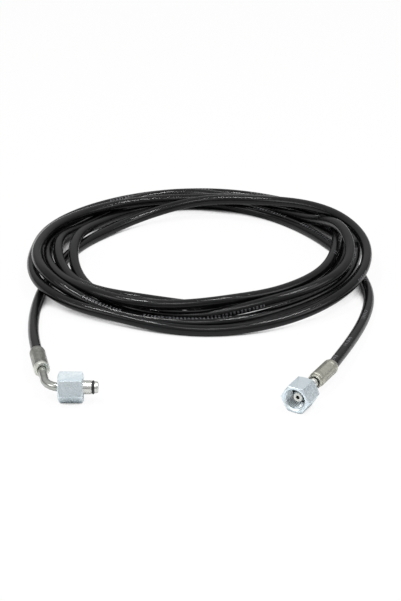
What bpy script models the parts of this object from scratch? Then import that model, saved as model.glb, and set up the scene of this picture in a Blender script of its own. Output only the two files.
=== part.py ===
"""Coiled hydraulic hose assembly with one elbow end and one straight end.

Millimetre sizes are named below and turned into metres by MM. The hose runs from the elbow
ferrule, once under the coil, round its loops and out to the straight ferrule. Each fitting
is modelled along its own +X axis, from the hose towards the nose, and then placed.
"""

import math

import bmesh
import bpy
import numpy as np
from mathutils import Matrix, Vector

MM = 0.001

# Hose: a smooth cover over a braided core
HOSE_OD = 8.0
COVER_WALL = 0.8
HOSE_BORE = 4.0
LAYER_GAP = 0.35
TURN_CLEARANCE = 0.75
NODE_GAP = 0.3

# Crimped ferrule, the same at both ends
FERRULE_OD = 11.3
FERRULE_LENGTH = 28.0
FERRULE_FRONT_WALL = 3.2
FERRULE_NOSE_STEP = 0.35
FERRULE_STEP_LENGTH = 3.6
CRIMP_JAWS = 8
CRIMP_DEPTH = 0.28
CRIMP_START = 4.5
CRIMP_END = 22.0
HOSE_IN_FERRULE = 22.5
SLIP = 0.15

# Barbed tail inside the hose
TAIL_BORE = 2.2
TAIL_SLIP = 0.3
BARB_COUNT = 4
BARB_PITCH = 4.2
BARB_DEPTH = 0.2

# Union nut, M16 x 1.5 by 19 mm across flats, its thread clear of the collar
COLLAR_OD = 12.4
COLLAR_ROOM = 1.0
NUT_MOUTH_FLARE = 1.0
NUT_FRONT_WALL = 1.1
NUT_THREAD_BORE = COLLAR_OD + 2.0 * COLLAR_ROOM
NUT_MOUTH = NUT_THREAD_BORE + 2.0 * NUT_MOUTH_FLARE
NUT_FRONT_FACE = NUT_MOUTH + 2.0 * NUT_FRONT_WALL
NUT_AF = 19.0
NUT_LENGTH = 17.4
NUT_LIP = 3.2
NUT_REAR_FACE = 17.4
NUT_CHAMFER_SLOPE = 1.73
NUT_RUNNING_GAP = 0.25

# Elbow end
ELBOW_TUBE_OD = 6.0
ELBOW_TUBE_BORE = 3.0
ELBOW_BEND_RADIUS = 13.0
ELBOW_LEAD_IN = 14.7
ELBOW_LEAD_OUT = 11.8
ELBOW_BEND_ROOM = 2.2
ELBOW_NOSE_BASE = 9.5
ELBOW_NOSE_BASE_LENGTH = 5.6
ELBOW_NOSE_LENGTH = 10.6
ELBOW_COLLAR_LENGTH = 2.4
ELBOW_SOCKET_DEPTH = 3.5
ELBOW_NUT_REST = 11.2
ELBOW_NUT_ROLL_DEG = 9.0
ELBOW_NOSE_BORE = 3.0

# Straight end
STRAIGHT_NECK_OD = 7.0
STRAIGHT_NECK_SHOWN = 12.0
STRAIGHT_COLLAR_LENGTH = 2.2
STRAIGHT_NOSE_BASE = 9.5
STRAIGHT_NOSE_BASE_LENGTH = 2.0
STRAIGHT_NOSE_LENGTH = 7.2
STRAIGHT_NOSE_BORE = 2.6
STRAIGHT_NUT_ROLL_DEG = 0.0

# Cone nose and its O-ring
CONE_HALF_ANGLE_DEG = 12.0
TIP_CHAMFER = 0.5
O_RING_SECTION = 1.8
O_RING_PROUD = 0.35
GROOVE_GAP = 0.12

# Where things lie on the floor, from the middle of the coil
COIL_CENTRE = (12.3, 210.9)
ELBOW_MOUTH = (-115.8, -174.4)
ELBOW_FERRULE_HEADING_DEG = -78.7
STRAIGHT_MOUTH = (92.0, -193.8)
STRAIGHT_HEADING_DEG = -119.6

# The coil seen from above, clockwise from the left side, in twelve steps a loop
STEPS_PER_LOOP = 12
POINTS_PER_STEP = 2
LOOP_RADII = (
    (104, 87, 80, 80, 84, 99, 125, 136, 134, 130, 122, 139),
    (127, 128, 124, 122, 123, 128, 121, 123, 113, 116, 130, 138),
    (122, 111, 96, 90, 98, 114, 109, 108, 102, 109, 118, 120),
    (119, 120, 115, 113, 114, 118, 114, 105, 94, 95, 110, 113),
    (111, 108, 105, 107, 107, 105, 114, 127, 114, 105, 103, 104),
    (99, 98, 103, 101, 97, 98),
)
LOOP_HEIGHTS = (
    (5, 5, 9, 15, 18, 21, 18, 14, 7, 6, 4, 12),
    (10, 5, 4, 4, 4, 4, 11, 10, 5, 5, 8, 20),
    (18, 12, 12, 12, 12, 12, 17, 14, 11, 10, 11, 11),
    (10, 4, 4, 4, 4, 4, 11, 7, 4, 4, 9, 9),
    (14, 4, 12, 12, 12, 14, 22, 20, 12, 4, 4, 6),
    (12, 7, 4, 4, 4, 5),
)
ELBOW_TAIL = (
    (-120.4, -147.0, 8.7),
    (-122.8, -113.0, 5.6),
    (-122.3, -82.0, 4.0),
    (-119.0, -55.0, 4.0),
    (-112.5, -27.0, 4.0),
)
STRAIGHT_TAIL = (
    (98.0, 29.0, 4.3),
    (112.0, -1.0, 4.0),
    (122.0, -32.0, 4.0),
    (127.3, -66.0, 4.0),
    (124.3, -97.0, 4.3),
    (115.0, -132.0, 5.7),
    (102.5, -168.0, 8.2),
)

ROUND_SIDES = 40
HIDDEN_SIDES = 24
RING_SIDES = 28
RING_POINTS = 8
BEND_STEPS = 14


def collection(name):
    """A new collection in the scene."""
    made = bpy.data.collections.new(name)
    bpy.context.scene.collection.children.link(made)
    return made


def material(name, colour, roughness, metallic):
    """A Principled material."""
    made = bpy.data.materials.new(name)
    made.use_nodes = True
    shader = made.node_tree.nodes["Principled BSDF"]
    shader.inputs["Base Color"].default_value = (*colour, 1.0)
    shader.inputs["Roughness"].default_value = roughness
    shader.inputs["Metallic"].default_value = metallic
    return made


def add_object(name, data, where, look=None):
    """Links a new object and gives it its material."""
    obj = bpy.data.objects.new(name, data)
    where.objects.link(obj)
    if look:
        data.materials.append(look)
    return obj


def turned(name, profile, where, look=None, sides=ROUND_SIDES, shape=None):
    """Turns a closed (x, radius) profile round the X axis."""
    work = bmesh.new()
    points = [work.verts.new((x * MM, 0.0, r * MM)) for x, r in profile]
    edges = [work.edges.new((points[i - 1], points[i])) for i in range(len(points))]
    bmesh.ops.spin(
        work,
        geom=points + edges,
        axis=(1.0, 0.0, 0.0),
        cent=(0.0, 0.0, 0.0),
        steps=sides,
        angle=math.tau,
        use_merge=True,
    )
    bmesh.ops.remove_doubles(work, verts=work.verts, dist=1e-7)
    if shape:
        shape(work)
    bmesh.ops.recalc_face_normals(work, faces=work.faces)
    data = bpy.data.meshes.new(name)
    work.to_mesh(data)
    work.free()
    data.shade_smooth()
    data.set_sharp_from_angle(angle=math.radians(25.0))
    return add_object(name, data, where, look)


def boolean(obj, cutter, operation):
    """Joins a cutter to an object with an exact Boolean."""
    cutter.hide_render = True
    cutter.display_type = "WIRE"
    modifier = obj.modifiers.new(cutter.name, "BOOLEAN")
    modifier.object = cutter
    modifier.operation = operation
    modifier.solver = "EXACT"


def placed(obj, frame, along=0.0):
    """Puts an object built on its own +X axis into a fitting's frame."""
    obj.matrix_world = frame @ Matrix.Translation((along * MM, 0.0, 0.0))
    return obj


def fitting_frame(x, y, z, heading_deg, roll_deg=0.0):
    """The frame of a fitting: +X along its axis, +Z up before its roll."""
    place = Matrix.Translation(
        ((COIL_CENTRE[0] + x) * MM, (COIL_CENTRE[1] + y) * MM, z * MM)
    )
    heading = Matrix.Rotation(math.radians(heading_deg), 4, "Z")
    roll = Matrix.Rotation(math.radians(roll_deg), 4, "X")
    return place @ heading @ roll


def nut_axis_height(roll_deg):
    """How high a nut's axis is when its lowest corner or flat lies on the floor."""
    corner = NUT_AF / 2.0 / math.cos(math.radians(30.0))
    return corner * math.cos(math.radians(30.0 - abs(roll_deg)))


ELBOW_HEIGHT = nut_axis_height(ELBOW_NUT_ROLL_DEG)
STRAIGHT_HEIGHT = nut_axis_height(STRAIGHT_NUT_ROLL_DEG)


# --- the hose's route -------------------------------------------------------------------


def through(points, counts):
    """Points read from a smooth curve through the given ones."""
    points = np.asarray(points, float)
    ends = np.vstack(
        [2 * points[0] - points[1], points, 2 * points[-1] - points[-2]]
    )
    found = []
    for i, count in enumerate(counts):
        a, b, c, d = ends[i : i + 4]
        for t in np.arange(count) / count:
            bent = (2 * a - 5 * b + 4 * c - d) * t * t + (3 * b - a - 3 * c + d) * t**3
            found.append(0.5 * (2 * b + (c - a) * t + bent))
    found.append(points[-1])
    return np.array(found)


def coil_points():
    """The coil's loops, turned clockwise step by step from the guide rows."""
    radii = [r for row in LOOP_RADII for r in row]
    heights = [z for row in LOOP_HEIGHTS for z in row]
    rows = np.column_stack([radii, heights])
    rows = through(rows, [POINTS_PER_STEP] * (len(rows) - 1))
    step = math.tau / (STEPS_PER_LOOP * POINTS_PER_STEP)
    angles = math.pi - step * np.arange(len(rows))
    return np.column_stack(
        [rows[:, 0] * np.cos(angles), rows[:, 0] * np.sin(angles), rows[:, 1]]
    )


def hose_end(x, y, z, heading_deg):
    """The hose's end inside a ferrule and its point at the ferrule's mouth."""
    heading = math.radians(heading_deg)
    along = np.array([math.cos(heading), math.sin(heading), 0.0])
    mouth = np.array([x, y, z])
    return mouth + HOSE_IN_FERRULE * along, mouth


def dense(count, per):
    """Weights that read `per` even points off each straight run of a polyline."""
    weights = np.zeros(((count - 1) * per + 1, count))
    for i in range(count - 1):
        for j in range(per):
            weights[i * per + j, i] = 1.0 - j / per
            weights[i * per + j, i + 1] = j / per
    weights[-1, -1] = 1.0
    return weights


def arc_lengths(points):
    """The length run from the start to each point."""
    steps = np.linalg.norm(np.diff(points, axis=0), axis=1)
    return np.concatenate([[0.0], np.cumsum(steps)])


def apart_pairs(samples, reach, along):
    """Sample pairs within reach of each other that lie apart along the hose."""
    run = arc_lengths(samples)
    first, second = np.triu_indices(len(samples), 1)
    distance = np.linalg.norm(samples[first] - samples[second], axis=1)
    near = (distance < reach) & (run[second] - run[first] > along)
    return first[near], second[near]


def settle(points, spacing, floor, fixed=2, rounds=2600, last=200):
    """Eases turns that lie closer than `spacing` apart, as piled hose does.

    Each round moves crowded stretches away from each other, spreads the move along the
    hose, and keeps the hose on or above the floor. The ends stay in their ferrules.
    """
    weights = dense(len(points), 6)
    back = weights.T / weights.sum(axis=0)[:, None]
    start = points.copy()
    for turn in range(rounds):
        samples = weights @ points
        if turn % 25 == 0:
            first, second = apart_pairs(samples, 1.6 * spacing, 5.0 * spacing)
        away = samples[first] - samples[second]
        distance = np.linalg.norm(away, axis=1) + 1e-9
        short = np.clip(spacing - distance, 0.0, None)
        push = away * (0.5 * short / distance)[:, None]
        moves = np.zeros_like(samples)
        np.add.at(moves, first, push)
        np.add.at(moves, second, -push)
        crowd = np.zeros(len(samples))
        np.add.at(crowd, first, short > 0.0)
        np.add.at(crowd, second, short > 0.0)
        moves /= np.sqrt(np.maximum(crowd, 1.0))[:, None]
        points = points + 1.5 * (back @ moves)
        if turn < rounds - last:
            shift = 0.98 * (points - start)
            spread = 0.5 * (shift[:-2] + shift[2:])
            shift[1:-1] = 0.85 * shift[1:-1] + 0.15 * spread
            points = start + shift
        points[:, 2] = np.maximum(points[:, 2], floor)
        points[:fixed] = start[:fixed]
        points[-fixed:] = start[-fixed:]
    return points


def least_gap(points):
    """The least clear space between two turns, measured on close points."""
    samples = dense(len(points), 10) @ points
    first, second = apart_pairs(samples, 4.0 * HOSE_OD, 5.0 * HOSE_OD)
    distance = np.linalg.norm(samples[first] - samples[second], axis=1)
    return distance.min() - HOSE_OD


def hose_route():
    """The whole hose's points, and where the coil starts and ends among them."""
    end, mouth = hose_end(*ELBOW_MOUTH, ELBOW_HEIGHT, ELBOW_FERRULE_HEADING_DEG)
    tip, exit_point = hose_end(*STRAIGHT_MOUTH, STRAIGHT_HEIGHT, STRAIGHT_HEADING_DEG)
    coil = coil_points()
    before = through([mouth, *ELBOW_TAIL, coil[0]], [2] * len(ELBOW_TAIL) + [1])[:-1]
    after = through([coil[-1], *STRAIGHT_TAIL, exit_point], [1] + [2] * len(STRAIGHT_TAIL))[1:]
    points = np.vstack([[end], before, coil, after, [tip]])
    points[1:-1, 2] = np.maximum(points[1:-1, 2], HOSE_OD / 2.0)
    points = settle(points, HOSE_OD + TURN_CLEARANCE, HOSE_OD / 2.0)
    start = 1 + len(before)
    return points, start, start + len(coil)


def cut_at(points, index, side):
    """A point half a node gap before or after the middle of a straight run."""
    a, b = points[index - 1], points[index]
    along = (b - a) / np.linalg.norm(b - a)
    return (a + b) / 2.0 + side * NODE_GAP / 2.0 * along


def hose_tube(name, points, outer, wall, fineness, where, look):
    """One layer of the hose: an open tube with its wall grown inwards."""
    data = bpy.data.curves.new(name, "CURVE")
    data.dimensions = "3D"
    data.bevel_depth = outer / 2.0 * MM
    data.bevel_resolution = fineness
    data.use_fill_caps = False
    spline = data.splines.new("POLY")
    spline.points.add(len(points) - 1)
    for slot, (x, y, z) in zip(spline.points, points):
        slot.co = ((COIL_CENTRE[0] + x) * MM, (COIL_CENTRE[1] + y) * MM, z * MM, 1.0)
    spline.use_smooth = True
    obj = add_object(name, data, where, look)
    shell = obj.modifiers.new("wall", "SOLIDIFY")
    shell.thickness = wall * MM
    shell.offset = -1.0
    shell.use_even_offset = True
    shell.use_rim = True
    return obj


def make_hose(where, looks):
    """The cover and the braided core, each as two free stretches and the coil."""
    points, start, stop = hose_route()
    print(f"least gap between turns {least_gap(points):.2f} mm")
    print(f"hose length {arc_lengths(points)[-1]:.0f} mm")
    core_od = HOSE_OD - 2.0 * (COVER_WALL + LAYER_GAP)
    core_wall = (core_od - HOSE_BORE) / 2.0
    runs = {
        "elbow_side": ([*points[:start], cut_at(points, start, -1)], 2),
        "coil": ([cut_at(points, start, 1), *points[start:stop], cut_at(points, stop, -1)], 1),
        "straight_side": ([cut_at(points, stop, 1), *points[stop:]], 2),
    }
    for name, (run, fineness) in runs.items():
        hose_tube(f"{name}_cover", run, HOSE_OD, COVER_WALL, fineness, where, looks["cover"])
        hose_tube(f"{name}_core", run, core_od, core_wall, fineness, where, looks["core"])


# --- fittings -----------------------------------------------------------------------------


def crimp_flats(work):
    """Presses the jaws' flats into a ferrule, with narrow lands between them."""
    jaw = math.tau / CRIMP_JAWS
    flat = (FERRULE_OD / 2.0 - CRIMP_DEPTH) * MM
    for vert in work.verts:
        radius = math.hypot(vert.co.y, vert.co.z)
        if not CRIMP_START * MM < vert.co.x < CRIMP_END * MM or radius < flat:
            continue
        turn = math.atan2(vert.co.z, vert.co.y) % jaw - jaw / 2.0
        share = min(radius, flat / math.cos(turn)) / radius
        vert.co.y *= share
        vert.co.z *= share


def ferrule(name, stem_od, frame, where, looks):
    """A crimped ferrule, with its mouth at x = 0 and a recess round the stem in front."""
    outer = FERRULE_OD / 2.0
    inner = HOSE_OD / 2.0 + SLIP
    hole = stem_od / 2.0 + SLIP
    length = FERRULE_LENGTH
    step = length - FERRULE_STEP_LENGTH
    nose = outer - FERRULE_NOSE_STEP
    profile = [
        (0.0, inner),
        (0.0, inner + 0.35),
        (0.5, inner + 0.8),
        (1.6, outer - 0.35),
        (3.2, outer),
        (CRIMP_START - 0.4, outer),
        (CRIMP_START + 0.4, outer),
        (CRIMP_END - 0.4, outer),
        (CRIMP_END + 0.4, outer),
        (step - 0.25, outer),
        (step, nose),
        (length - 0.7, nose),
        (length, nose - 0.7),
        (length, hole + 0.7),
        (length - 1.2, hole + 0.7),
        (length - 1.2, hole),
        (length - FERRULE_FRONT_WALL, hole),
        (length - FERRULE_FRONT_WALL, inner),
    ]
    made = turned(name, profile, where, looks["ferrule"], shape=crimp_flats)
    return placed(made, frame)


def tail_profile():
    """The barbed tail's outline, from its tip to the shoulder that stops the hose."""
    crest = HOSE_BORE / 2.0 - TAIL_SLIP
    root = crest - BARB_DEPTH
    end = HOSE_IN_FERRULE + NODE_GAP
    outline = [(end - BARB_COUNT * BARB_PITCH - 1.0, root)]
    for i in range(BARB_COUNT):
        x = end - (BARB_COUNT - i) * BARB_PITCH
        outline += [(x, root), (x + 1.4, crest), (x + 1.6, root)]
    shoulder = HOSE_OD / 2.0 - SLIP
    outline += [(end, root), (end, shoulder)]
    return outline


def shoulder_end():
    """Where the tail's shoulder ends, against the ferrule's front wall."""
    return FERRULE_LENGTH - FERRULE_FRONT_WALL - NODE_GAP


def cone_profile(start, base, base_length, length, bore):
    """The cone nose's outline from its collar to its bore, with the O-ring's groove."""
    slope = math.tan(math.radians(CONE_HALF_ANGLE_DEG))
    cone_at = start + base_length
    groove_from = cone_at + 0.4
    groove_to = groove_from + O_RING_SECTION + 2.0 * GROOVE_GAP

    def radius(x):
        return base / 2.0 - (x - cone_at) * slope

    middle = (groove_from + groove_to) / 2.0
    floor = radius(middle) + O_RING_PROUD - O_RING_SECTION - GROOVE_GAP
    tip = start + length
    outline = [
        (start, base / 2.0),
        (cone_at, base / 2.0),
        (groove_from, radius(groove_from)),
        (groove_from, floor),
        (groove_to, floor),
        (groove_to, radius(groove_to)),
        (tip - TIP_CHAMFER, radius(tip - TIP_CHAMFER)),
        (tip, radius(tip) - TIP_CHAMFER),
        (tip, bore / 2.0),
    ]
    ring = (middle, floor + GROOVE_GAP + O_RING_SECTION / 2.0)
    return outline, ring


def o_ring(name, ring, frame, where, looks):
    """An O-ring seated in its groove."""
    middle, radius = ring
    section = O_RING_SECTION / 2.0
    profile = [
        (section * math.cos(turn), radius + section * math.sin(turn))
        for turn in (i * math.tau / RING_POINTS for i in range(RING_POINTS))
    ]
    return placed(turned(name, profile, where, looks["rubber"], RING_SIDES), frame, middle)


def hexagon(name, where, look):
    """A nut's plain hexagonal bar, with a flat down."""
    corner = NUT_AF / 2.0 / math.cos(math.radians(30.0)) * MM
    work = bmesh.new()
    ring = [
        work.verts.new((0.0, corner * math.cos(turn), corner * math.sin(turn)))
        for turn in (i * math.radians(60.0) for i in range(6))
    ]
    face = work.faces.new(ring)
    grown = bmesh.ops.extrude_face_region(work, geom=[face])
    moved = [item for item in grown["geom"] if isinstance(item, bmesh.types.BMVert)]
    bmesh.ops.translate(work, verts=moved, vec=Vector((NUT_LENGTH * MM, 0.0, 0.0)))
    bmesh.ops.recalc_face_normals(work, faces=work.faces)
    data = bpy.data.meshes.new(name)
    work.to_mesh(data)
    work.free()
    return add_object(name, data, where, look)


def union_nut(name, hole, frame, along, where, looks):
    """A union nut with its rear face at x = 0 and its threaded mouth in front."""
    nut = hexagon(name, where, looks["zinc"])
    wide = NUT_AF
    over = 1.0
    drop = over * NUT_CHAMFER_SLOPE
    rear = NUT_REAR_FACE / 2.0
    front = NUT_FRONT_FACE / 2.0
    barrel = [
        (-over, 0.5),
        (-over, rear - drop),
        ((wide - rear) / NUT_CHAMFER_SLOPE, wide),
        (NUT_LENGTH - (wide - front) / NUT_CHAMFER_SLOPE, wide),
        (NUT_LENGTH + over, front - drop),
        (NUT_LENGTH + over, 0.5),
    ]
    chamfer = turned(f"{name}_chamfer", barrel, looks["cutters"])
    bore = NUT_THREAD_BORE / 2.0
    mouth = NUT_MOUTH / 2.0
    inside = [
        (-over, 0.2),
        (-over, hole / 2.0 + over + 0.5),
        (0.5, hole / 2.0),
        (NUT_LIP - (bore - hole / 2.0) * 0.3, hole / 2.0),
        (NUT_LIP, bore),
        (NUT_LENGTH - (mouth - bore), bore),
        (NUT_LENGTH + over, mouth + over),
        (NUT_LENGTH + over, 0.2),
    ]
    hollow = turned(f"{name}_hollow", inside, looks["cutters"])
    boolean(nut, chamfer, "INTERSECT")
    boolean(nut, hollow, "DIFFERENCE")
    for piece in (nut, chamfer, hollow):
        placed(piece, frame, along)
    return nut


def straight_end(where, looks):
    """The straight end: ferrule, stem with its cone nose, O-ring and turning nut."""
    frame = fitting_frame(*STRAIGHT_MOUTH, STRAIGHT_HEIGHT, STRAIGHT_HEADING_DEG)
    ferrule("straight_ferrule", STRAIGHT_NECK_OD, frame, where, looks)
    neck = STRAIGHT_NECK_OD / 2.0
    hole = STRAIGHT_NECK_OD + 2.0 * NUT_RUNNING_GAP
    nut_at = FERRULE_LENGTH + STRAIGHT_NECK_SHOWN
    collar_at = nut_at + NUT_LIP + NODE_GAP
    nose_at = collar_at + STRAIGHT_COLLAR_LENGTH
    collar = COLLAR_OD / 2.0
    nose, ring = cone_profile(
        nose_at,
        STRAIGHT_NOSE_BASE,
        STRAIGHT_NOSE_BASE_LENGTH,
        STRAIGHT_NOSE_LENGTH,
        STRAIGHT_NOSE_BORE,
    )
    tail = tail_profile()
    shoulder = HOSE_OD / 2.0 - SLIP
    profile = [
        *tail,
        (shoulder_end(), shoulder),
        (shoulder_end(), neck),
        (collar_at, neck),
        (collar_at, collar - 0.4),
        (collar_at + 0.4, collar),
        (nose_at - 0.4, collar),
        (nose_at, collar - 0.4),
        *nose,
        (HOSE_IN_FERRULE, STRAIGHT_NOSE_BORE / 2.0),
        (HOSE_IN_FERRULE - 2.0, TAIL_BORE / 2.0),
        (tail[0][0], TAIL_BORE / 2.0),
    ]
    placed(turned("straight_stem", profile, where, looks["steel"]), frame)
    o_ring("straight_o_ring", ring, frame, where, looks)
    rolled = frame @ Matrix.Rotation(math.radians(STRAIGHT_NUT_ROLL_DEG), 4, "X")
    union_nut("straight_nut", hole, rolled, nut_at, where, looks)
    print_axis("straight nut", frame, nut_at)


def elbow_frames():
    """The ferrule's frame, and the nose's frame at its collar after the bend."""
    ferrule_frame = fitting_frame(*ELBOW_MOUTH, ELBOW_HEIGHT, ELBOW_FERRULE_HEADING_DEG)
    turn = math.radians(-ELBOW_FERRULE_HEADING_DEG)
    lead = FERRULE_LENGTH + ELBOW_LEAD_IN
    ahead = ELBOW_BEND_RADIUS * math.sin(turn)
    aside = ELBOW_BEND_RADIUS * (1.0 - math.cos(turn))
    corner = Matrix.Translation(((lead + ahead) * MM, aside * MM, 0.0))
    out = Matrix.Rotation(turn, 4, "Z") @ Matrix.Translation((ELBOW_LEAD_OUT * MM, 0.0, 0.0))
    return ferrule_frame, ferrule_frame @ corner @ out


def bent_tube(name, frame, start, turn, finish, where, look):
    """The bent tube: a straight lead, one even bend and a straight end, with its bore."""
    radius = ELBOW_BEND_RADIUS
    lead = FERRULE_LENGTH + ELBOW_LEAD_IN
    middle = (start + lead) / 2.0
    points = [(start, 0.0), (middle, 0.0)]
    for i in range(BEND_STEPS + 1):
        angle = turn * i / BEND_STEPS
        points.append((lead + radius * math.sin(angle), radius * (1.0 - math.cos(angle))))
    along = (math.cos(turn), math.sin(turn))
    corner = points[-1]
    for share in (0.5, 1.0):
        run = share * finish
        points.append((corner[0] + run * along[0], corner[1] + run * along[1]))
    data = bpy.data.curves.new(name, "CURVE")
    data.dimensions = "3D"
    data.bevel_depth = ELBOW_TUBE_OD / 2.0 * MM
    data.bevel_resolution = 6
    data.use_fill_caps = False
    spline = data.splines.new("POLY")
    spline.points.add(len(points) - 1)
    for slot, (x, y) in zip(spline.points, points):
        slot.co = (x * MM, y * MM, 0.0, 1.0)
    tube = add_object(name, data, where, look)
    shell = tube.modifiers.new("wall", "SOLIDIFY")
    shell.thickness = (ELBOW_TUBE_OD - ELBOW_TUBE_BORE) / 2.0 * MM
    shell.offset = -1.0
    shell.use_even_offset = True
    shell.use_rim = True
    return placed(tube, frame)


def elbow_end(where, looks):
    """The elbow end: ferrule, barbed insert, bent tube, cone nose, O-ring and sliding nut."""
    frame, nose_frame = elbow_frames()
    ferrule("elbow_ferrule", ELBOW_TUBE_OD, frame, where, looks)
    shoulder = HOSE_OD / 2.0 - SLIP
    tail = tail_profile()
    insert = [
        *tail,
        (shoulder_end(), shoulder),
        (shoulder_end(), TAIL_BORE / 2.0),
        (tail[0][0], TAIL_BORE / 2.0),
    ]
    placed(turned("elbow_insert", insert, where, looks["steel"], HIDDEN_SIDES), frame)
    turn = math.radians(-ELBOW_FERRULE_HEADING_DEG)
    reach = ELBOW_LEAD_OUT + ELBOW_SOCKET_DEPTH - NODE_GAP
    bent_tube(
        "elbow_tube",
        frame,
        shoulder_end() + NODE_GAP,
        turn,
        reach,
        where,
        looks["steel"],
    )
    collar = COLLAR_OD / 2.0
    socket = ELBOW_TUBE_OD / 2.0 + SLIP
    nose, ring = cone_profile(
        ELBOW_COLLAR_LENGTH,
        ELBOW_NOSE_BASE,
        ELBOW_NOSE_BASE_LENGTH,
        ELBOW_NOSE_LENGTH,
        ELBOW_NOSE_BORE,
    )
    profile = [
        (0.0, socket),
        (0.0, collar - 0.4),
        (0.4, collar),
        (ELBOW_COLLAR_LENGTH - 0.4, collar),
        (ELBOW_COLLAR_LENGTH, collar - 0.4),
        *nose,
        (ELBOW_SOCKET_DEPTH, ELBOW_NOSE_BORE / 2.0),
        (ELBOW_SOCKET_DEPTH, socket),
    ]
    placed(turned("elbow_nose", profile, where, looks["steel"]), nose_frame)
    o_ring("elbow_o_ring", ring, nose_frame, where, looks)
    hole = ELBOW_TUBE_OD + 2.0 * ELBOW_BEND_ROOM
    rolled = nose_frame @ Matrix.Rotation(math.radians(ELBOW_NUT_ROLL_DEG), 4, "X")
    back = -NODE_GAP - NUT_LIP - ELBOW_NUT_REST
    union_nut("elbow_nut", hole, rolled, back, where, looks)
    print_axis("elbow nut", nose_frame, back)


def print_axis(name, frame, along):
    """Prints a nut's rear face centre and axis, for the record's joints."""
    place = frame @ Vector((along * MM, 0.0, 0.0))
    axis = frame.to_3x3() @ Vector((1.0, 0.0, 0.0))
    print(name, [round(v, 5) for v in place], [round(v, 6) for v in axis])


def main():
    for obj in list(bpy.data.objects):
        bpy.data.objects.remove(obj)
    where = collection("hydraulic_hose_assembly")
    looks = {
        "cover": material("hose_cover", (0.02, 0.021, 0.022), 0.32, 0.0),
        "core": material("hose_core", (0.75, 0.74, 0.7), 0.6, 0.0),
        "ferrule": material("ferrule_zinc", (0.52, 0.52, 0.49), 0.42, 1.0),
        "zinc": material("nut_zinc", (0.78, 0.82, 0.85), 0.26, 1.0),
        "steel": material("tube_steel", (0.72, 0.73, 0.72), 0.2, 1.0),
        "rubber": material("o_ring_rubber", (0.015, 0.015, 0.015), 0.5, 0.0),
        "cutters": collection("cutters"),
    }
    make_hose(where, looks)
    elbow_end(where, looks)
    straight_end(where, looks)
    bpy.context.view_layer.update()


main()
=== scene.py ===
"""Looks for a coiled hydraulic hose assembly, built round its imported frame.

The hose is one long tube wound into a loose pile of turns. One end carries a bent tube with
a cone nose and a sliding union nut, the other a straight stem with a turning union nut. All
sizes are in millimetres and are turned into metres by MM. Each fitting is modelled along its
own +X axis, from the hose towards the nose, and is then placed.
"""

from __future__ import annotations

import logging
import math
from collections.abc import Iterable, Sequence
from dataclasses import dataclass, field
from enum import Enum

import bmesh
import bpy
import numpy as np
from mathutils import Matrix, Vector

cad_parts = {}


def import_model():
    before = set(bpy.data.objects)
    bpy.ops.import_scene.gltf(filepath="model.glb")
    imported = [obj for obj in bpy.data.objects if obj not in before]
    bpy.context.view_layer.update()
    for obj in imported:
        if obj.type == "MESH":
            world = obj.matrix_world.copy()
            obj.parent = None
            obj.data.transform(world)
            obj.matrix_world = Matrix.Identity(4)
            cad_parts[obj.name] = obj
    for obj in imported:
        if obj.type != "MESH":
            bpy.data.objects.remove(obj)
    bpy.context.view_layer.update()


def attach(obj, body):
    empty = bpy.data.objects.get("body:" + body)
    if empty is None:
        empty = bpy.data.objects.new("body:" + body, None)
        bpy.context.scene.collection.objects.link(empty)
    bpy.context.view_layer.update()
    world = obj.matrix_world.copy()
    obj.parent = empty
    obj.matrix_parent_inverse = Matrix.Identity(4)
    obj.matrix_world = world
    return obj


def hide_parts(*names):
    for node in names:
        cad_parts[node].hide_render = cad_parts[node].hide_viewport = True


MM = 0.001
MERGE = 1e-6  # points closer than this, in metres, are one
LOG = logging.getLogger("hose_scene")

# Where things lie on the floor, from the middle of the coil
COIL_CENTRE = (12.3, 210.9)
ELBOW_MOUTH = (-115.8, -174.4)
ELBOW_HEADING = -78.7
STRAIGHT_MOUTH = (92.0, -193.8)
STRAIGHT_HEADING = -119.6


class Body(Enum):
    """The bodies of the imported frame."""

    HOSE = "hose"
    ELBOW_UNION = "elbow_union"
    STRAIGHT_UNION = "straight_union"


class Slot(Enum):
    """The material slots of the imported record."""

    COVER = "hose_cover"
    FERRULE = "ferrule_zinc"
    STEEL = "tube_steel"
    NUT = "nut_zinc"
    RUBBER = "o_ring_rubber"


# --- small modelling helpers ------------------------------------------------------------


def deselect_all() -> None:
    """Leaves object mode with nothing selected."""
    if bpy.context.mode != "OBJECT":
        bpy.ops.object.mode_set(mode="OBJECT")
    bpy.ops.object.select_all(action="DESELECT")


def only(obj: bpy.types.Object) -> None:
    """Makes obj the one selected and active object.

    Args:
        obj: the piece that the next operators work on.
    """
    deselect_all()
    obj.select_set(True)
    bpy.context.view_layer.objects.active = obj


def apply_modifier(obj: bpy.types.Object, kind: str, **settings: object) -> None:
    """Adds a modifier with its settings and applies it.

    Args:
        obj: the piece.
        kind: Blender's name of the modifier type.
        settings: the modifier's properties.
    """
    only(obj)
    modifier = obj.modifiers.new(kind.lower(), kind)
    for name, value in settings.items():
        setattr(modifier, name, value)
    bpy.ops.object.modifier_apply(modifier=modifier.name)


def soften(obj: bpy.types.Object, width: float, angle: float = 30.0) -> None:
    """Rounds the sharp edges of a piece and shades it smooth.

    Args:
        obj: the piece.
        width: the rounding's width in mm, or 0 to shade it only.
        angle: edges sharper than this, in degrees, are rounded.
    """
    if width > 0.0:
        apply_modifier(
            obj,
            "BEVEL",
            width=width * MM,
            segments=2,
            limit_method="ANGLE",
            angle_limit=math.radians(angle),
            use_clamp_overlap=True,
            harden_normals=False,
        )
    only(obj)
    bpy.ops.object.shade_smooth_by_angle(angle=math.radians(35.0))


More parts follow.
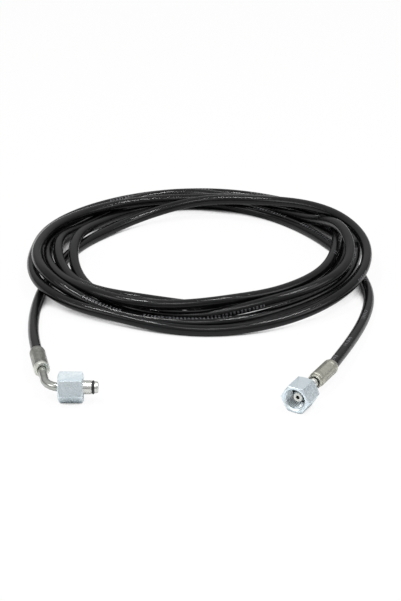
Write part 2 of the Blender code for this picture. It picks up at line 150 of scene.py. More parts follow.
def settle_in(obj: bpy.types.Object, frame: Matrix) -> bpy.types.Object:
    """Moves a piece from its own axis to its place, and writes the place into its mesh.

    Args:
        obj: the piece, modelled along +X from the origin.
        frame: the fitting's frame in metres.

    Returns:
        The same piece.
    """
    obj.matrix_world = frame
    only(obj)
    bpy.ops.object.transform_apply(location=True, rotation=True, scale=True)
    return obj


def traced(
    name: str, outline: Sequence[tuple[float, float]], start: float = 0.0
) -> bpy.types.Object:
    """Draws an outline as one line of edges, a point extruded from corner to corner.

    Args:
        name: the piece's name.
        outline: (x, radius) corners in mm.
        start: how far along X the whole outline is moved, in mm.

    Returns:
        The line, still in edit mode.
    """
    deselect_all()
    bpy.ops.mesh.primitive_plane_add(size=MM)
    obj = bpy.context.object
    obj.name = name
    obj.data.name = name
    bpy.ops.object.mode_set(mode="EDIT")
    bpy.ops.mesh.select_mode(type="VERT")
    bpy.ops.mesh.select_all(action="SELECT")
    bpy.ops.mesh.merge(type="CENTER")
    first = outline[0]
    bpy.ops.transform.translate(value=((start + first[0]) * MM, 0.0, first[1] * MM))
    for (x0, r0), (x1, r1) in zip(outline, outline[1:]):
        step = ((x1 - x0) * MM, 0.0, (r1 - r0) * MM)
        bpy.ops.mesh.extrude_region_move(TRANSFORM_OT_translate={"value": step})
    return obj


def merge_doubles() -> None:
    """Merges what lies on one spot in the mesh in edit mode and turns its faces outwards."""
    bpy.ops.mesh.select_all(action="SELECT")
    bpy.ops.mesh.remove_doubles(threshold=MERGE)
    bpy.ops.mesh.normals_make_consistent(inside=False)


def spun(name: str, outline: Sequence[tuple[float, float]], steps: int) -> bpy.types.Object:
    """Turns a closed outline round the X axis, as on a lathe.

    Args:
        name: the piece's name.
        outline: (x, radius) corners in mm, in order round the section.
        steps: faces round the axis.

    Returns:
        The turned piece, with its doubles merged and its normals outwards.
    """
    obj = traced(name, outline)
    work = bmesh.from_edit_mesh(obj.data)
    for vert in work.verts:
        vert.select_set(sum(edge.is_valid for edge in vert.link_edges) == 1)
    bmesh.update_edit_mesh(obj.data)
    bpy.ops.mesh.edge_face_add()
    bpy.ops.mesh.select_all(action="SELECT")
    bpy.ops.mesh.spin(
        steps=steps,
        angle=math.tau,
        center=(0.0, 0.0, 0.0),
        axis=(1.0, 0.0, 0.0),
    )
    merge_doubles()
    bpy.ops.object.mode_set(mode="OBJECT")
    return obj


def cut(obj: bpy.types.Object, tool: bpy.types.Object, operation: str) -> None:
    """Cuts a piece with a tool shape, and removes the tool.

    Args:
        obj: the piece.
        tool: the shape that works on it.
        operation: INTERSECT or DIFFERENCE.
    """
    apply_modifier(obj, "BOOLEAN", object=tool, operation=operation, solver="EXACT")
    bpy.data.objects.remove(tool)


def fitting_frame(mouth: tuple[float, float], height: float, heading: float) -> Matrix:
    """The frame of a fitting, +X along its axis and +Z up.

    Args:
        mouth: the ferrule's mouth in mm from the middle of the coil.
        height: the axis's height in mm.
        heading: the axis's direction in degrees from +X.

    Returns:
        The frame in metres.
    """
    place = (COIL_CENTRE[0] + mouth[0], COIL_CENTRE[1] + mouth[1], height)
    spot = Matrix.Translation(Vector(place) * MM)
    return spot @ Matrix.Rotation(math.radians(heading), 4, "Z")


def rolled(frame: Matrix, degrees: float) -> Matrix:
    """The frame turned about its own axis by some degrees."""
    return frame @ Matrix.Rotation(math.radians(degrees), 4, "X")


def slid(frame: Matrix, along: float) -> Matrix:
    """The frame moved along its own axis by some millimetres."""
    return frame @ Matrix.Translation((along * MM, 0.0, 0.0))


# --- node tools and shared effects --------------------------------------------------------


class Desk:
    """Adds nodes to a tree and wires them.

    Sockets given as numbers or tuples are set, and anything else is linked.
    """

    def __init__(self, tree: bpy.types.NodeTree) -> None:
        """Starts on an empty tree."""
        self.tree = tree
        self.column = 0

    def add(
        self, kind: str, inputs: dict[str | int, object] | None = None, **settings: object
    ) -> bpy.types.Node:
        """Adds one node.

        Args:
            kind: the node's type name.
            inputs: values or sockets for its inputs, by name or number.
            settings: the node's own properties.

        Returns:
            The node.
        """
        node = self.tree.nodes.new(kind)
        self.column += 1
        node.location = (180 * self.column, -40 * (self.column % 7))
        for name, value in settings.items():
            setattr(node, name, value)
        for key, value in (inputs or {}).items():
            self.feed(node.inputs[key], value)
        return node

    def feed(self, socket: bpy.types.NodeSocket, value: object) -> None:
        """Sets a socket, or links another into it.

        Args:
            socket: the input.
            value: a plain value, or the socket that is linked in.
        """
        if isinstance(value, bpy.types.NodeSocket):
            self.tree.links.new(value, socket)
        else:
            socket.default_value = value

    def group(self, tree: bpy.types.NodeTree, **inputs: object) -> bpy.types.NodeOutputs:
        """Places a shared effect.

        Args:
            tree: the effect's node group.
            inputs: values or sockets for its inputs, by name.

        Returns:
            Its outputs.
        """
        return self.add("ShaderNodeGroup", inputs, node_tree=tree).outputs

    def math(self, operation: str, *values: object, clamp: bool = False) -> bpy.types.NodeSocket:
        """Reckons with one Math node.

        Args:
            operation: the node's operation.
            values: its inputs in order.
            clamp: whether the result is kept between 0 and 1.

        Returns:
            The result.
        """
        node = self.add("ShaderNodeMath", operation=operation, use_clamp=clamp)
        for socket, value in zip(node.inputs, values):
            self.feed(socket, value)
        return node.outputs[0]

    def between(
        self, value: object, low: float, high: float, start: float = 0.0, end: float = 1.0
    ) -> bpy.types.NodeSocket:
        """Reads a value smoothly from one range to another.

        Args:
            value: what is read.
            low: where the first range starts.
            high: where it ends.
            start: the result at or below low.
            end: the result at or above high.

        Returns:
            The result.
        """
        node = self.add(
            "ShaderNodeMapRange",
            {"Value": value, "From Min": low, "From Max": high, "To Min": start, "To Max": end},
            interpolation_type="SMOOTHSTEP",
            clamp=True,
        )
        return node.outputs["Result"]

    def mix(self, share: object, first: object, second: object) -> bpy.types.NodeSocket:
        """Mixes one colour into another.

        Args:
            share: how much of the second there is.
            first: the colour at a share of 0.
            second: the colour at a share of 1.

        Returns:
            The mixed colour.
        """
        node = self.add("ShaderNodeMix", data_type="RGBA", blend_type="MIX")
        self.feed(node.inputs[0], share)
        self.feed(node.inputs[6], first)
        self.feed(node.inputs[7], second)
        return node.outputs[2]

    def noise(
        self, vector: object, scale: object, detail: float, rough: float = 0.5
    ) -> bpy.types.NodeSocket:
        """Reads a noise texture.

        Args:
            vector: where it is read.
            scale: how fine it is.
            detail: how many finer layers it has.
            rough: how strong they are.

        Returns:
            Its value.
        """
        inputs = {"Vector": vector, "Scale": scale, "Detail": detail, "Roughness": rough}
        return self.add("ShaderNodeTexNoise", inputs).outputs["Fac"]

    def apart(self, vector: object) -> bpy.types.NodeOutputs:
        """The X, Y and Z of a vector."""
        return self.add("ShaderNodeSeparateXYZ", {0: vector}).outputs

    def bump(
        self, height: object, strength: float, depth: float, shader: bpy.types.Node
    ) -> None:
        """Raises a shader's surface a little.

        Args:
            height: the surface's height, from 0 to 1.
            strength: how much of it shows.
            depth: how far 1 is, in metres.
            shader: whose normal it turns.
        """
        inputs = {"Height": height, "Strength": strength, "Distance": depth}
        self.feed(shader.inputs["Normal"], self.add("ShaderNodeBump", inputs).outputs[0])


def new_group(
    name: str, takes: dict[str, tuple[str, float]], gives: Iterable[str]
) -> tuple[Desk, bpy.types.NodeOutputs, bpy.types.Node]:
    """Starts a shader node group.

    Args:
        name: the group's name.
        takes: for each input its socket type and its default.
        gives: the float outputs.

    Returns:
        The desk, the input node's outputs and the output node.
    """
    tree = bpy.data.node_groups.new(name, "ShaderNodeTree")
    for label, (kind, default) in takes.items():
        socket = tree.interface.new_socket(label, in_out="INPUT", socket_type=kind)
        if kind == "NodeSocketFloat":
            socket.default_value = default
    for label in gives:
        tree.interface.new_socket(label, in_out="OUTPUT", socket_type="NodeSocketFloat")
    desk = Desk(tree)
    source = desk.add("NodeGroupInput").outputs
    target = desk.add("NodeGroupOutput")
    return desk, source, target


VECTOR = ("NodeSocketVector", 0.0)


def sine_wave(desk: Desk, phase: object) -> bpy.types.NodeSocket:
    """Turns a phase, counted in whole waves, into a height from 0 to 1.

    Args:
        desk: the tree's desk.
        phase: how many waves have gone by.

    Returns:
        The height.
    """
    wave = desk.math("SINE", desk.math("MULTIPLY", phase, math.tau))
    return desk.math("MULTIPLY_ADD", wave, 0.5, 0.5)


def mottle_group() -> bpy.types.NodeTree:
    """Cloudy blotches over finer specks, as on zinc plating and worn steel.

    Returns:
        The group: Vector, Size and Contrast in, Blotch, Speck and Height out.
    """
    takes = {
        "Vector": VECTOR,
        "Size": ("NodeSocketFloat", 400.0),
        "Contrast": ("NodeSocketFloat", 1.0),
    }
    desk, source, target = new_group("mottle", takes, ("Blotch", "Speck", "Height"))
    size = source["Size"]
    wide = desk.noise(source["Vector"], size, 4.0, 0.6)
    fine = desk.noise(source["Vector"], desk.math("MULTIPLY", size, 5.3), 3.0, 0.65)
    blotch = desk.between(wide, 0.36, 0.66)
    speck = desk.between(fine, 0.42, 0.7)
    joined = desk.math("MULTIPLY_ADD", blotch, 0.65, desk.math("MULTIPLY", speck, 0.35))
    centred = desk.math("SUBTRACT", joined, 0.5)
    shaped = desk.math("MULTIPLY_ADD", centred, source["Contrast"], 0.5, clamp=True)
    desk.feed(target.inputs["Blotch"], shaped)
    desk.feed(target.inputs["Speck"], speck)
    desk.feed(target.inputs["Height"], desk.math("MULTIPLY_ADD", fine, 0.6, wide))
    return desk.tree


def scratch_group() -> bpy.types.NodeTree:
    """Thin marks drawn out along the piece's X axis, for drawn or crimped steel.

    Returns:
        The group: Vector, Fineness and Amount in, Mask and Height out.
    """
    takes = {
        "Vector": VECTOR,
        "Fineness": ("NodeSocketFloat", 900.0),
        "Amount": ("NodeSocketFloat", 0.5),
    }
    desk, source, target = new_group("drawn_lines", takes, ("Mask", "Height"))
    squeezed = desk.add(
        "ShaderNodeMapping", {"Vector": source["Vector"], "Scale": (0.06, 1.0, 1.0)}
    ).outputs[0]
    lines = desk.noise(squeezed, source["Fineness"], 2.0, 0.7)
    sharp = desk.between(lines, 0.5, 0.72)
    desk.feed(target.inputs["Mask"], desk.math("MULTIPLY", sharp, source["Amount"]))
    desk.feed(target.inputs["Height"], lines)
    return desk.tree


def turning_group() -> bpy.types.NodeTree:
    """Fine rings left by the lathe, crowded along the piece's X axis.

    Returns:
        The group: Vector and Pitch in, Height out.
    """
    takes = {"Vector": VECTOR, "Pitch": ("NodeSocketFloat", 0.0002)}
    desk, source, target = new_group("lathe_rings", takes, ("Height",))
    ring = desk.math("DIVIDE", desk.apart(source["Vector"])["X"], source["Pitch"])
    wander = desk.noise(source["Vector"], 600.0, 2.0)
    phase = desk.math("MULTIPLY_ADD", wander, 1.7, ring)
    desk.feed(target.inputs["Height"], sine_wave(desk, phase))
    return desk.tree


def edge_rub_highlight_group() -> bpy.types.NodeTree:
    """Brighter edges, from how sharply the surface bends: worn bare by rubbing, and a painted
    edge highlight.

    Returns:
        The group: Vector and Amount in, Mask out.
    """
    takes = {"Vector": VECTOR, "Amount": ("NodeSocketFloat", 0.5)}
    desk, source, target = new_group("edge_rub_highlight", takes, ("Mask",))
    bend = desk.add("ShaderNodeNewGeometry").outputs["Pointiness"]
    edge = desk.between(bend, 0.505, 0.56)
    broken = desk.between(desk.noise(source["Vector"], 700.0, 3.0, 0.6), 0.3, 0.6)
    both = desk.math("MULTIPLY", edge, broken)
    desk.feed(target.inputs["Mask"], desk.math("MULTIPLY", both, source["Amount"]))
    return desk.tree


def rib_group() -> bpy.types.NodeTree:
    """The fine cross ribs and the braid's print in the hose cover.

    Returns:
        The group: UV, Rib Pitch and Braid Pitch in, Height and Shade out.
    """
    takes = {
        "UV": VECTOR,
        "Rib Pitch": ("NodeSocketFloat", 0.0013),
        "Braid Pitch": ("NodeSocketFloat", 0.0062),
    }
    desk, source, target = new_group("cover_ribs", takes, ("Height", "Shade"))
    parts = desk.apart(source["UV"])
    along, around = parts["X"], parts["Y"]
    uneven = desk.noise(source["UV"], 60.0, 2.0)
    turns = desk.math("DIVIDE", along, source["Rib Pitch"])
    phase = desk.math("MULTIPLY_ADD", uneven, 0.8, turns)
    rib = sine_wave(desk, phase)
    lay = desk.math("DIVIDE", along, source["Braid Pitch"])
    strands = desk.math("MULTIPLY", around, 10.0)
    waves = [sine_wave(desk, desk.math(way, lay, strands)) for way in ("ADD", "SUBTRACT")]
    braid = desk.math("MAXIMUM", *waves)
    height = desk.math("MULTIPLY_ADD", rib, 0.72, desk.math("MULTIPLY", braid, 0.28))
    desk.feed(target.inputs["Height"], height)
    desk.feed(target.inputs["Shade"], desk.between(height, 0.25, 0.9))
    return desk.tree


def ink_group() -> bpy.types.NodeTree:
    """A row of plain printed ticks along the hose, in groups, worn in places.

    Returns:
        The group: UV in, Mask out.
    """
    desk, source, target = new_group("tick_row", {"UV": VECTOR}, ("Mask",))
    parts = desk.apart(source["UV"])
    along, around = parts["X"], parts["Y"]
    tick, word, line = 0.0028, 0.0168, 0.115

    def chance(pitch: float, seed: float) -> bpy.types.NodeSocket:
        """Draws lots for each step along the hose.

        Args:
            pitch: the step's length in metres.
            seed: sets one draw apart from another.

        Returns:
            A value from 0 to 1 that stays the same over a step.
        """
        step = desk.math("FLOOR", desk.math("DIVIDE", along, pitch))
        inputs = {"W": desk.math("ADD", step, seed)}
        return desk.add("ShaderNodeTexWhiteNoise", inputs, noise_dimensions="1D").outputs["Value"]

    inside = desk.math("FRACT", desk.math("DIVIDE", along, tick))
    wide = desk.math("MULTIPLY_ADD", chance(tick, 3.5), 0.35, 0.3)
    tall = desk.math("MULTIPLY_ADD", chance(tick, 7.5), 0.018, 0.042)
    off = desk.math("ABSOLUTE", desk.math("SUBTRACT", around, 0.5))
    mask = desk.math("LESS_THAN", inside, wide)
    for share in (
        desk.math("LESS_THAN", off, tall),
        desk.math("GREATER_THAN", chance(word, 11.5), 0.35),
        desk.math("GREATER_THAN", chance(line, 29.5), 0.45),
        desk.between(desk.noise(source["UV"], 900.0, 3.0, 0.7), 0.42, 0.62),
    ):
        mask = desk.math("MULTIPLY", mask, share)
    desk.feed(target.inputs["Mask"], mask)
    return desk.tree


@dataclass
class Effects:
    """The shared node groups, built once."""

    mottle: bpy.types.NodeTree = field(default_factory=mottle_group)
    lines: bpy.types.NodeTree = field(default_factory=scratch_group)
    rings: bpy.types.NodeTree = field(default_factory=turning_group)
    rub_highlight: bpy.types.NodeTree = field(default_factory=edge_rub_highlight_group)
    ribs: bpy.types.NodeTree = field(default_factory=rib_group)
    ink: bpy.types.NodeTree = field(default_factory=ink_group)


def new_material(name: str) -> tuple[bpy.types.Material, Desk, bpy.types.Node]:
    """Starts a material.

    Args:
        name: the material's name.

    Returns:
        The material, its desk and its Principled shader.
    """
    made = bpy.data.materials.new(name)
    made.use_nodes = True
    shader = made.node_tree.nodes["Principled BSDF"]
    return made, Desk(made.node_tree), shader


def wear_material(obj: bpy.types.Object, look: bpy.types.Material) -> None:
    """Gives a piece this one material."""
    obj.data.materials.clear()
    obj.data.materials.append(look)


Colour = tuple[float, float, float]


def rgba(colour: Colour, lift: float = 1.0) -> tuple[float, float, float, float]:
    """The colour with full alpha, made lighter by a factor where one is given."""
    return (*(min(1.0, part * lift) for part in colour), 1.0)


@dataclass(frozen=True)
class PlatedSteel:
    """Zinc-plated or bright steel, with blotches, lathe or draw marks, and edges made lighter as
    worn steel and as a painted highlight.

    Past collar_from, in metres along the piece, the steel is brighter and has no draw marks.
    """

    name: str
    light: Colour
    dark: Colour
    tint: Colour
    roughness: float
    roughness_swing: float
    mottle_size: float
    mottle_contrast: float
    ring_pitch: float = 0.0002
    ring_share: float = 0.0
    line_fineness: float = 900.0
    line_share: float = 0.0
    rub_highlight: float = 0.4
    bump: float = 0.00002
    collar_from: float = 1.0

    def material(self, effects: Effects, frame: Matrix) -> bpy.types.Material:
        """Builds the finish for a piece that was modelled along this frame's +X.

        Args:
            effects: the shared groups.
            frame: the piece's frame, so that rings and draw marks follow its axis.

        Returns:
            The material.
        """
        made, desk, shader = new_material(self.name)
        place = desk.add("ShaderNodeTexCoord").outputs["Object"]
        turned = {
            "Vector": place,
            "Location": frame.to_translation(),
            "Rotation": frame.to_euler(),
        }
        local = desk.add("ShaderNodeMapping", turned, vector_type="TEXTURE").outputs[0]
        mottle = desk.group(
            effects.mottle, Vector=local, Size=self.mottle_size, Contrast=self.mottle_contrast
        )
        blotch, speck = mottle["Blotch"], mottle["Speck"]
        rings = desk.group(effects.rings, Vector=local, Pitch=self.ring_pitch)
        lines = desk.group(
            effects.lines, Vector=local, Fineness=self.line_fineness, Amount=self.line_share
        )
        rub_highlight_mask = desk.group(effects.rub_highlight, Vector=local, Amount=self.rub_highlight)
        colour = desk.mix(blotch, rgba(self.dark), rgba(self.light))
        colour = desk.mix(desk.math("MULTIPLY", speck, 0.35), colour, rgba(self.tint))
        body = desk.math("LESS_THAN", desk.apart(local)["X"], self.collar_from)
        colour = desk.mix(desk.math("MULTIPLY", lines["Mask"], body), colour, rgba(self.dark))
        collar = desk.math("SUBTRACT", 1.0, body)
        colour = desk.mix(collar, colour, rgba(self.light, 1.5))
        # Lighter edges: worn by rubbing, and a painted edge highlight.
        colour = desk.mix(rub_highlight_mask["Mask"], colour, rgba(self.light, 1.25))
        desk.feed(shader.inputs["Base Color"], colour)
        swing = self.roughness_swing
        uneven = desk.math("MULTIPLY_ADD", blotch, -swing, self.roughness)
        uneven = desk.math("MULTIPLY_ADD", speck, 0.5 * swing, uneven)
        desk.feed(shader.inputs["Roughness"], uneven)
        shader.inputs["Metallic"].default_value = 1.0
        height = desk.math("MULTIPLY_ADD", rings["Height"], self.ring_share, mottle["Height"])
        height = desk.math("MULTIPLY_ADD", lines["Height"], self.line_share, height)
        desk.bump(height, 0.6, self.bump, shader)
        return made


@dataclass(frozen=True)
class BlackRubber:
    """Matt black rubber with a soft bloom."""

    name: str = "o_ring_black"
    colour: Colour = (0.008, 0.008, 0.008)
    bloom: Colour = (0.022, 0.022, 0.023)
    roughness: float = 0.42

    def material(self, effects: Effects) -> bpy.types.Material:
        """Builds the rubber.

        Args:
            effects: the shared groups.

        Returns:
            The material.
        """
        made, desk, shader = new_material(self.name)
        place = desk.add("ShaderNodeTexCoord").outputs["Object"]
        mottle = desk.group(effects.mottle, Vector=place, Size=500.0)
        share = desk.math("MULTIPLY", mottle["Blotch"], 0.5)
        colour = desk.mix(share, rgba(self.colour), rgba(self.bloom))
        desk.feed(shader.inputs["Base Color"], colour)
        rough = desk.math("MULTIPLY_ADD", mottle["Speck"], 0.15, self.roughness)
        desk.feed(shader.inputs["Roughness"], rough)
        desk.bump(mottle["Height"], 0.5, 0.00002, shader)
        return made


@dataclass(frozen=True)
class HoseCover:
    """Glossy black hose cover with cross ribs, scuffs and a worn row of ticks."""

    name: str = "hose_cover_black"
    deep: Colour = (0.0022, 0.0022, 0.0026)
    lifted: Colour = (0.007, 0.007, 0.007)
    ink: Colour = (0.2, 0.2, 0.215)
    roughness: float = 0.1
    sheen: float = 0.24
    rib_depth: float = 0.00005

    def material(self, effects: Effects, uv_name: str) -> bpy.types.Material:
        """Builds the cover.

        Args:
            effects: the shared groups.
            uv_name: the hose's UV map, in metres along and a share around.

        Returns:
            The material.
        """
        made, desk, shader = new_material(self.name)
        strip = desk.add("ShaderNodeUVMap", uv_map=uv_name).outputs[0]
        place = desk.add("ShaderNodeTexCoord").outputs["Object"]
        ribs = desk.group(effects.ribs, UV=strip)
        ink = desk.group(effects.ink, UV=strip)["Mask"]
        mottle = desk.group(effects.mottle, Vector=place, Size=90.0)
        shade = desk.math("MULTIPLY", ribs["Shade"], mottle["Blotch"])
        colour = desk.mix(shade, rgba(self.deep), rgba(self.lifted))
        desk.feed(shader.inputs["Base Color"], desk.mix(ink, colour, rgba(self.ink)))
        rough = desk.math("MULTIPLY_ADD", mottle["Blotch"], 0.06, self.roughness)
        rough = desk.math("MULTIPLY_ADD", mottle["Speck"], 0.06, rough)
        rough = desk.math("MULTIPLY_ADD", ink, 0.3, rough)
        desk.feed(shader.inputs["Roughness"], rough)
        shader.inputs["Specular IOR Level"].default_value = self.sheen
        height = desk.math("MULTIPLY_ADD", mottle["Speck"], 0.04, ribs["Height"])
        desk.bump(height, 0.7, self.rib_depth, shader)
        return made


# --- the hose -----------------------------------------------------------------------------


@dataclass
class Hose:
    """The hose: its route round the coil and its ribbed cover."""

    outside: float = 8.0
    bore: float = 4.0
    in_ferrule: float = 22.5
    blind_bore: float = 24.0
    end_chamfer: float = 0.4
    clearance: float = 0.75
    steps_per_loop: int = 12
    points_per_step: int = 2
    ring_spacing: float = 2.3
    sides: int = 28
    uv_name: str = "hose_uv"
    radii: tuple[tuple[int, ...], ...] = (
        (104, 87, 80, 80, 84, 99, 125, 136, 134, 130, 127, 136),
        (127, 128, 124, 122, 123, 128, 121, 123, 112, 119, 121, 137),
        (124, 112, 96, 90, 98, 114, 109, 108, 102, 110, 120, 123),
        (122, 121, 115, 113, 112, 114, 112, 105, 94, 96, 110, 114),
        (112, 109, 106, 107, 106, 106, 114, 127, 117, 107, 106, 104),
        (99, 98, 103, 101, 97, 98),
    )
    heights: tuple[tuple[int, ...], ...] = (
        (5, 5, 9, 15, 18, 21, 18, 14, 7, 4, 8, 12),
        (10, 5, 4, 4, 4, 4, 11, 10, 5, 5, 4, 18),
        (18, 12, 12, 12, 12, 12, 17, 14, 11, 12, 12, 11),
        (10, 4, 4, 4, 4, 4, 11, 7, 4, 4, 10, 9),
        (14, 4, 10, 10, 5, 10, 22, 20, 12, 4, 4, 6),
        (12, 7, 4, 4, 4, 5),
    )
    elbow_tail: tuple[tuple[float, float, float], ...] = (
        (-120.4, -147.0, 8.7),
        (-122.8, -113.0, 5.6),
        (-122.3, -82.0, 4.0),
        (-119.0, -55.0, 4.0),
        (-112.5, -27.0, 4.0),
    )
    straight_tail: tuple[tuple[float, float, float], ...] = (
        (98.0, 29.0, 4.3),
        (112.0, -1.0, 4.0),
        (122.0, -32.0, 4.0),
        (127.3, -66.0, 4.0),
        (124.3, -97.0, 4.3),
        (115.0, -132.0, 5.7),
        (102.5, -168.0, 8.2),
    )

    @staticmethod
    def through(points: np.ndarray, counts: Sequence[int]) -> np.ndarray:
        """Points read from a smooth curve through the given ones.

        Args:
            points: the guide points.
            counts: how many points are read from each span.

        Returns:
            The curve's points, the last guide point included.
        """
        points = np.asarray(points, float)
        ends = np.vstack([2 * points[0] - points[1], points, 2 * points[-1] - points[-2]])
        found = []
        for i, count in enumerate(counts):
            a, b, c, d = ends[i : i + 4]
            for t in np.arange(count) / count:
                bent = (2 * a - 5 * b + 4 * c - d) * t * t + (3 * b - a - 3 * c + d) * t**3
                found.append(0.5 * (2 * b + (c - a) * t + bent))
        found.append(points[-1])
        return np.array(found)

    def coil_points(self) -> np.ndarray:
        """Turns the coil's loops clockwise, step by step from the guide rows.

        Returns:
            The loops' points in mm.
        """
        radii = [r for row in self.radii for r in row]
        heights = [z for row in self.heights for z in row]
        rows = np.column_stack([radii, heights])
        rows = self.through(rows, [self.points_per_step] * (len(rows) - 1))
        step = math.tau / (self.steps_per_loop * self.points_per_step)
        angles = math.pi - step * np.arange(len(rows))
        x = rows[:, 0] * np.cos(angles)
        y = rows[:, 0] * np.sin(angles)
        return np.column_stack([x, y, rows[:, 1]])

    def end(
        self, mouth: tuple[float, float], height: float, heading: float
    ) -> tuple[np.ndarray, np.ndarray]:
        """Where the hose ends in a ferrule.

        Args:
            mouth: the ferrule's mouth in mm from the middle of the coil.
            height: the axis's height in mm.
            heading: the ferrule's direction in degrees from +X.

        Returns:
            The hose's end inside the ferrule, and its point at the ferrule's mouth.
        """
        turn = math.radians(heading)
        along = np.array([math.cos(turn), math.sin(turn), 0.0])
        spot = np.array([*mouth, height])
        return spot + self.in_ferrule * along, spot

    @staticmethod
    def dense(count: int, per: int) -> np.ndarray:
        """Weights that read even points off each straight run of a line.

        Args:
            count: how many points the line has.
            per: how many points are read from each straight run.

        Returns:
            The weights, a row for each point that is read.
        """
        weights = np.zeros(((count - 1) * per + 1, count))
        for i in range(count - 1):
            for j in range(per):
                weights[i * per + j, i] = 1.0 - j / per
                weights[i * per + j, i + 1] = j / per
        weights[-1, -1] = 1.0
        return weights

    @staticmethod
    def run(points: np.ndarray) -> np.ndarray:
        """The length run from the start to each point."""
        steps = np.linalg.norm(np.diff(points, axis=0), axis=1)
        return np.concatenate([[0.0], np.cumsum(steps)])

    def near_pairs(
        self, samples: np.ndarray, reach: float, along: float
    ) -> tuple[np.ndarray, np.ndarray]:
        """Finds where turns of the hose come near each other.

        Args:
            samples: points along the hose.
            reach: how near counts, in mm.
            along: how far apart along the hose two points are at least, in mm.

        Returns:
            The first and the second point's number of each pair.
        """
        run = self.run(samples)
        first, second = np.triu_indices(len(samples), 1)
        distance = np.linalg.norm(samples[first] - samples[second], axis=1)
        near = (distance < reach) & (run[second] - run[first] > along)
        return first[near], second[near]

    def settle(self, points: np.ndarray, rounds: int = 2600, last: int = 200) -> np.ndarray:
        """Eases turns that lie too close, as piled hose does, with both ends held.

        Args:
            points: the route before it settles.
            rounds: how many small moves are made.
            last: how many of them, at the end, are made without spreading the moves.

        Returns:
            The settled route.
        """
        spacing = self.outside + self.clearance
        floor = self.outside / 2.0
        fixed = 2  # points held at each end, inside and at the mouth of the ferrule
        weights = self.dense(len(points), 6)
        back = weights.T / weights.sum(axis=0)[:, None]
        start = points.copy()
        for turn in range(rounds):
            samples = weights @ points
            if turn % 25 == 0:
                first, second = self.near_pairs(samples, 1.6 * spacing, 5.0 * spacing)
            away = samples[first] - samples[second]
            distance = np.linalg.norm(away, axis=1) + 1e-9
            short = np.clip(spacing - distance, 0.0, None)
            push = away * (0.5 * short / distance)[:, None]
            moves = np.zeros_like(samples)
            np.add.at(moves, first, push)
            np.add.at(moves, second, -push)
            crowd = np.zeros(len(samples))
            np.add.at(crowd, first, short > 0.0)
            np.add.at(crowd, second, short > 0.0)
            moves /= np.sqrt(np.maximum(crowd, 1.0))[:, None]
            points = points + 1.5 * (back @ moves)
            if turn < rounds - last:
                shift = 0.98 * (points - start)
                spread = 0.5 * (shift[:-2] + shift[2:])
                shift[1:-1] = 0.85 * shift[1:-1] + 0.15 * spread
                points = start + shift
            points[:, 2] = np.maximum(points[:, 2], floor)
            points[:fixed] = start[:fixed]
            points[-fixed:] = start[-fixed:]
        return points

    def route(self) -> np.ndarray:
        """Joins the coil to the two free ends.

        Returns:
            The route's points in mm, from the elbow ferrule to the straight ferrule.
        """
        end, mouth = self.end(ELBOW_MOUTH, ELBOW_HEIGHT, ELBOW_HEADING)
        tip, leave = self.end(STRAIGHT_MOUTH, STRAIGHT_HEIGHT, STRAIGHT_HEADING)
        coil = self.coil_points()
        lead = [mouth, *self.elbow_tail, coil[0]]
        trail = [coil[-1], *self.straight_tail, leave]
        before = self.through(lead, [2] * len(self.elbow_tail) + [1])[:-1]
        after = self.through(trail, [1] + [2] * len(self.straight_tail))[1:]
        points = np.vstack([[end], before, coil, after, [tip]])
        points[1:-1, 2] = np.maximum(points[1:-1, 2], self.outside / 2.0)
        return self.settle(points)

    def smooth_route(self) -> np.ndarray:
        """Draws the route as one smooth curve.

        Returns:
            Close, even points on it in mm.
        """
        floor = self.outside / 2.0
        points = self.route()
        curve = self.through(points, [16] * (len(points) - 1))
        run = self.run(curve)
        count = int(round(run[-1] / self.ring_spacing))
        even = np.linspace(0.0, run[-1], count + 1)
        curve = np.column_stack([np.interp(even, run, curve[:, axis]) for axis in range(3)])
        held = 12  # rings at each end that stay on the ferrule's axis
        start = curve.copy()
        for _ in range(40):
            eased = curve.copy()
            eased[1:-1] = 0.5 * curve[1:-1] + 0.25 * (curve[:-2] + curve[2:])
            eased[:held] = start[:held]
            eased[-held:] = start[-held:]
            eased[:, 2] = np.maximum(eased[:, 2], floor)
            curve = eased
        curve[:, 0] += COIL_CENTRE[0]
        curve[:, 1] += COIL_CENTRE[1]
        return curve

    def layline(self, centres: np.ndarray) -> np.ndarray:
        """The angle round the hose at which its printed row lies, ring by ring.

        The row wanders slowly round the top and the outside of the turns, since a hose that
        is laid down by hand keeps a little twist.

        Args:
            centres: the rings' middle points in mm.

        Returns:
            An angle in radians for each ring.
        """
        run = self.run(centres)
        return (
            0.9 * np.sin(run * math.tau / 1650.0 + 0.6)
            + 0.5 * np.sin(run * math.tau / 610.0 + 2.0)
            + 0.35
        )

    def build(self) -> tuple[bpy.types.Object, np.ndarray]:
        """Makes the hose's tube, with a blind bore for the barbed tail at each end.

        Returns:
            The piece, and its ring centres in metres.
        """
        centres = self.smooth_route()
        ahead = np.gradient(centres, axis=0)
        ahead /= np.linalg.norm(ahead, axis=1)[:, None]
        side = np.cross(ahead, (0.0, 0.0, 1.0))
        side /= np.linalg.norm(side, axis=1)[:, None]
        top = np.cross(side, ahead)
        zero = self.layline(centres)
        turn = np.arange(self.sides) * math.tau / self.sides

        def ring(i: int, radius: float, shift: float = 0.0) -> np.ndarray:
            """Places one ring of points, its middle point on the printed row.

            Args:
                i: which of the route's points it goes round.
                radius: its radius in mm.
                shift: how far ahead of that point it lies, in mm.

            Returns:
                The ring's points in mm.
            """
            angle = zero[i] + math.pi + turn
            around = np.outer(np.cos(angle), top[i]) - np.outer(np.sin(angle), side[i])
            return centres[i] + shift * ahead[i] + radius * around

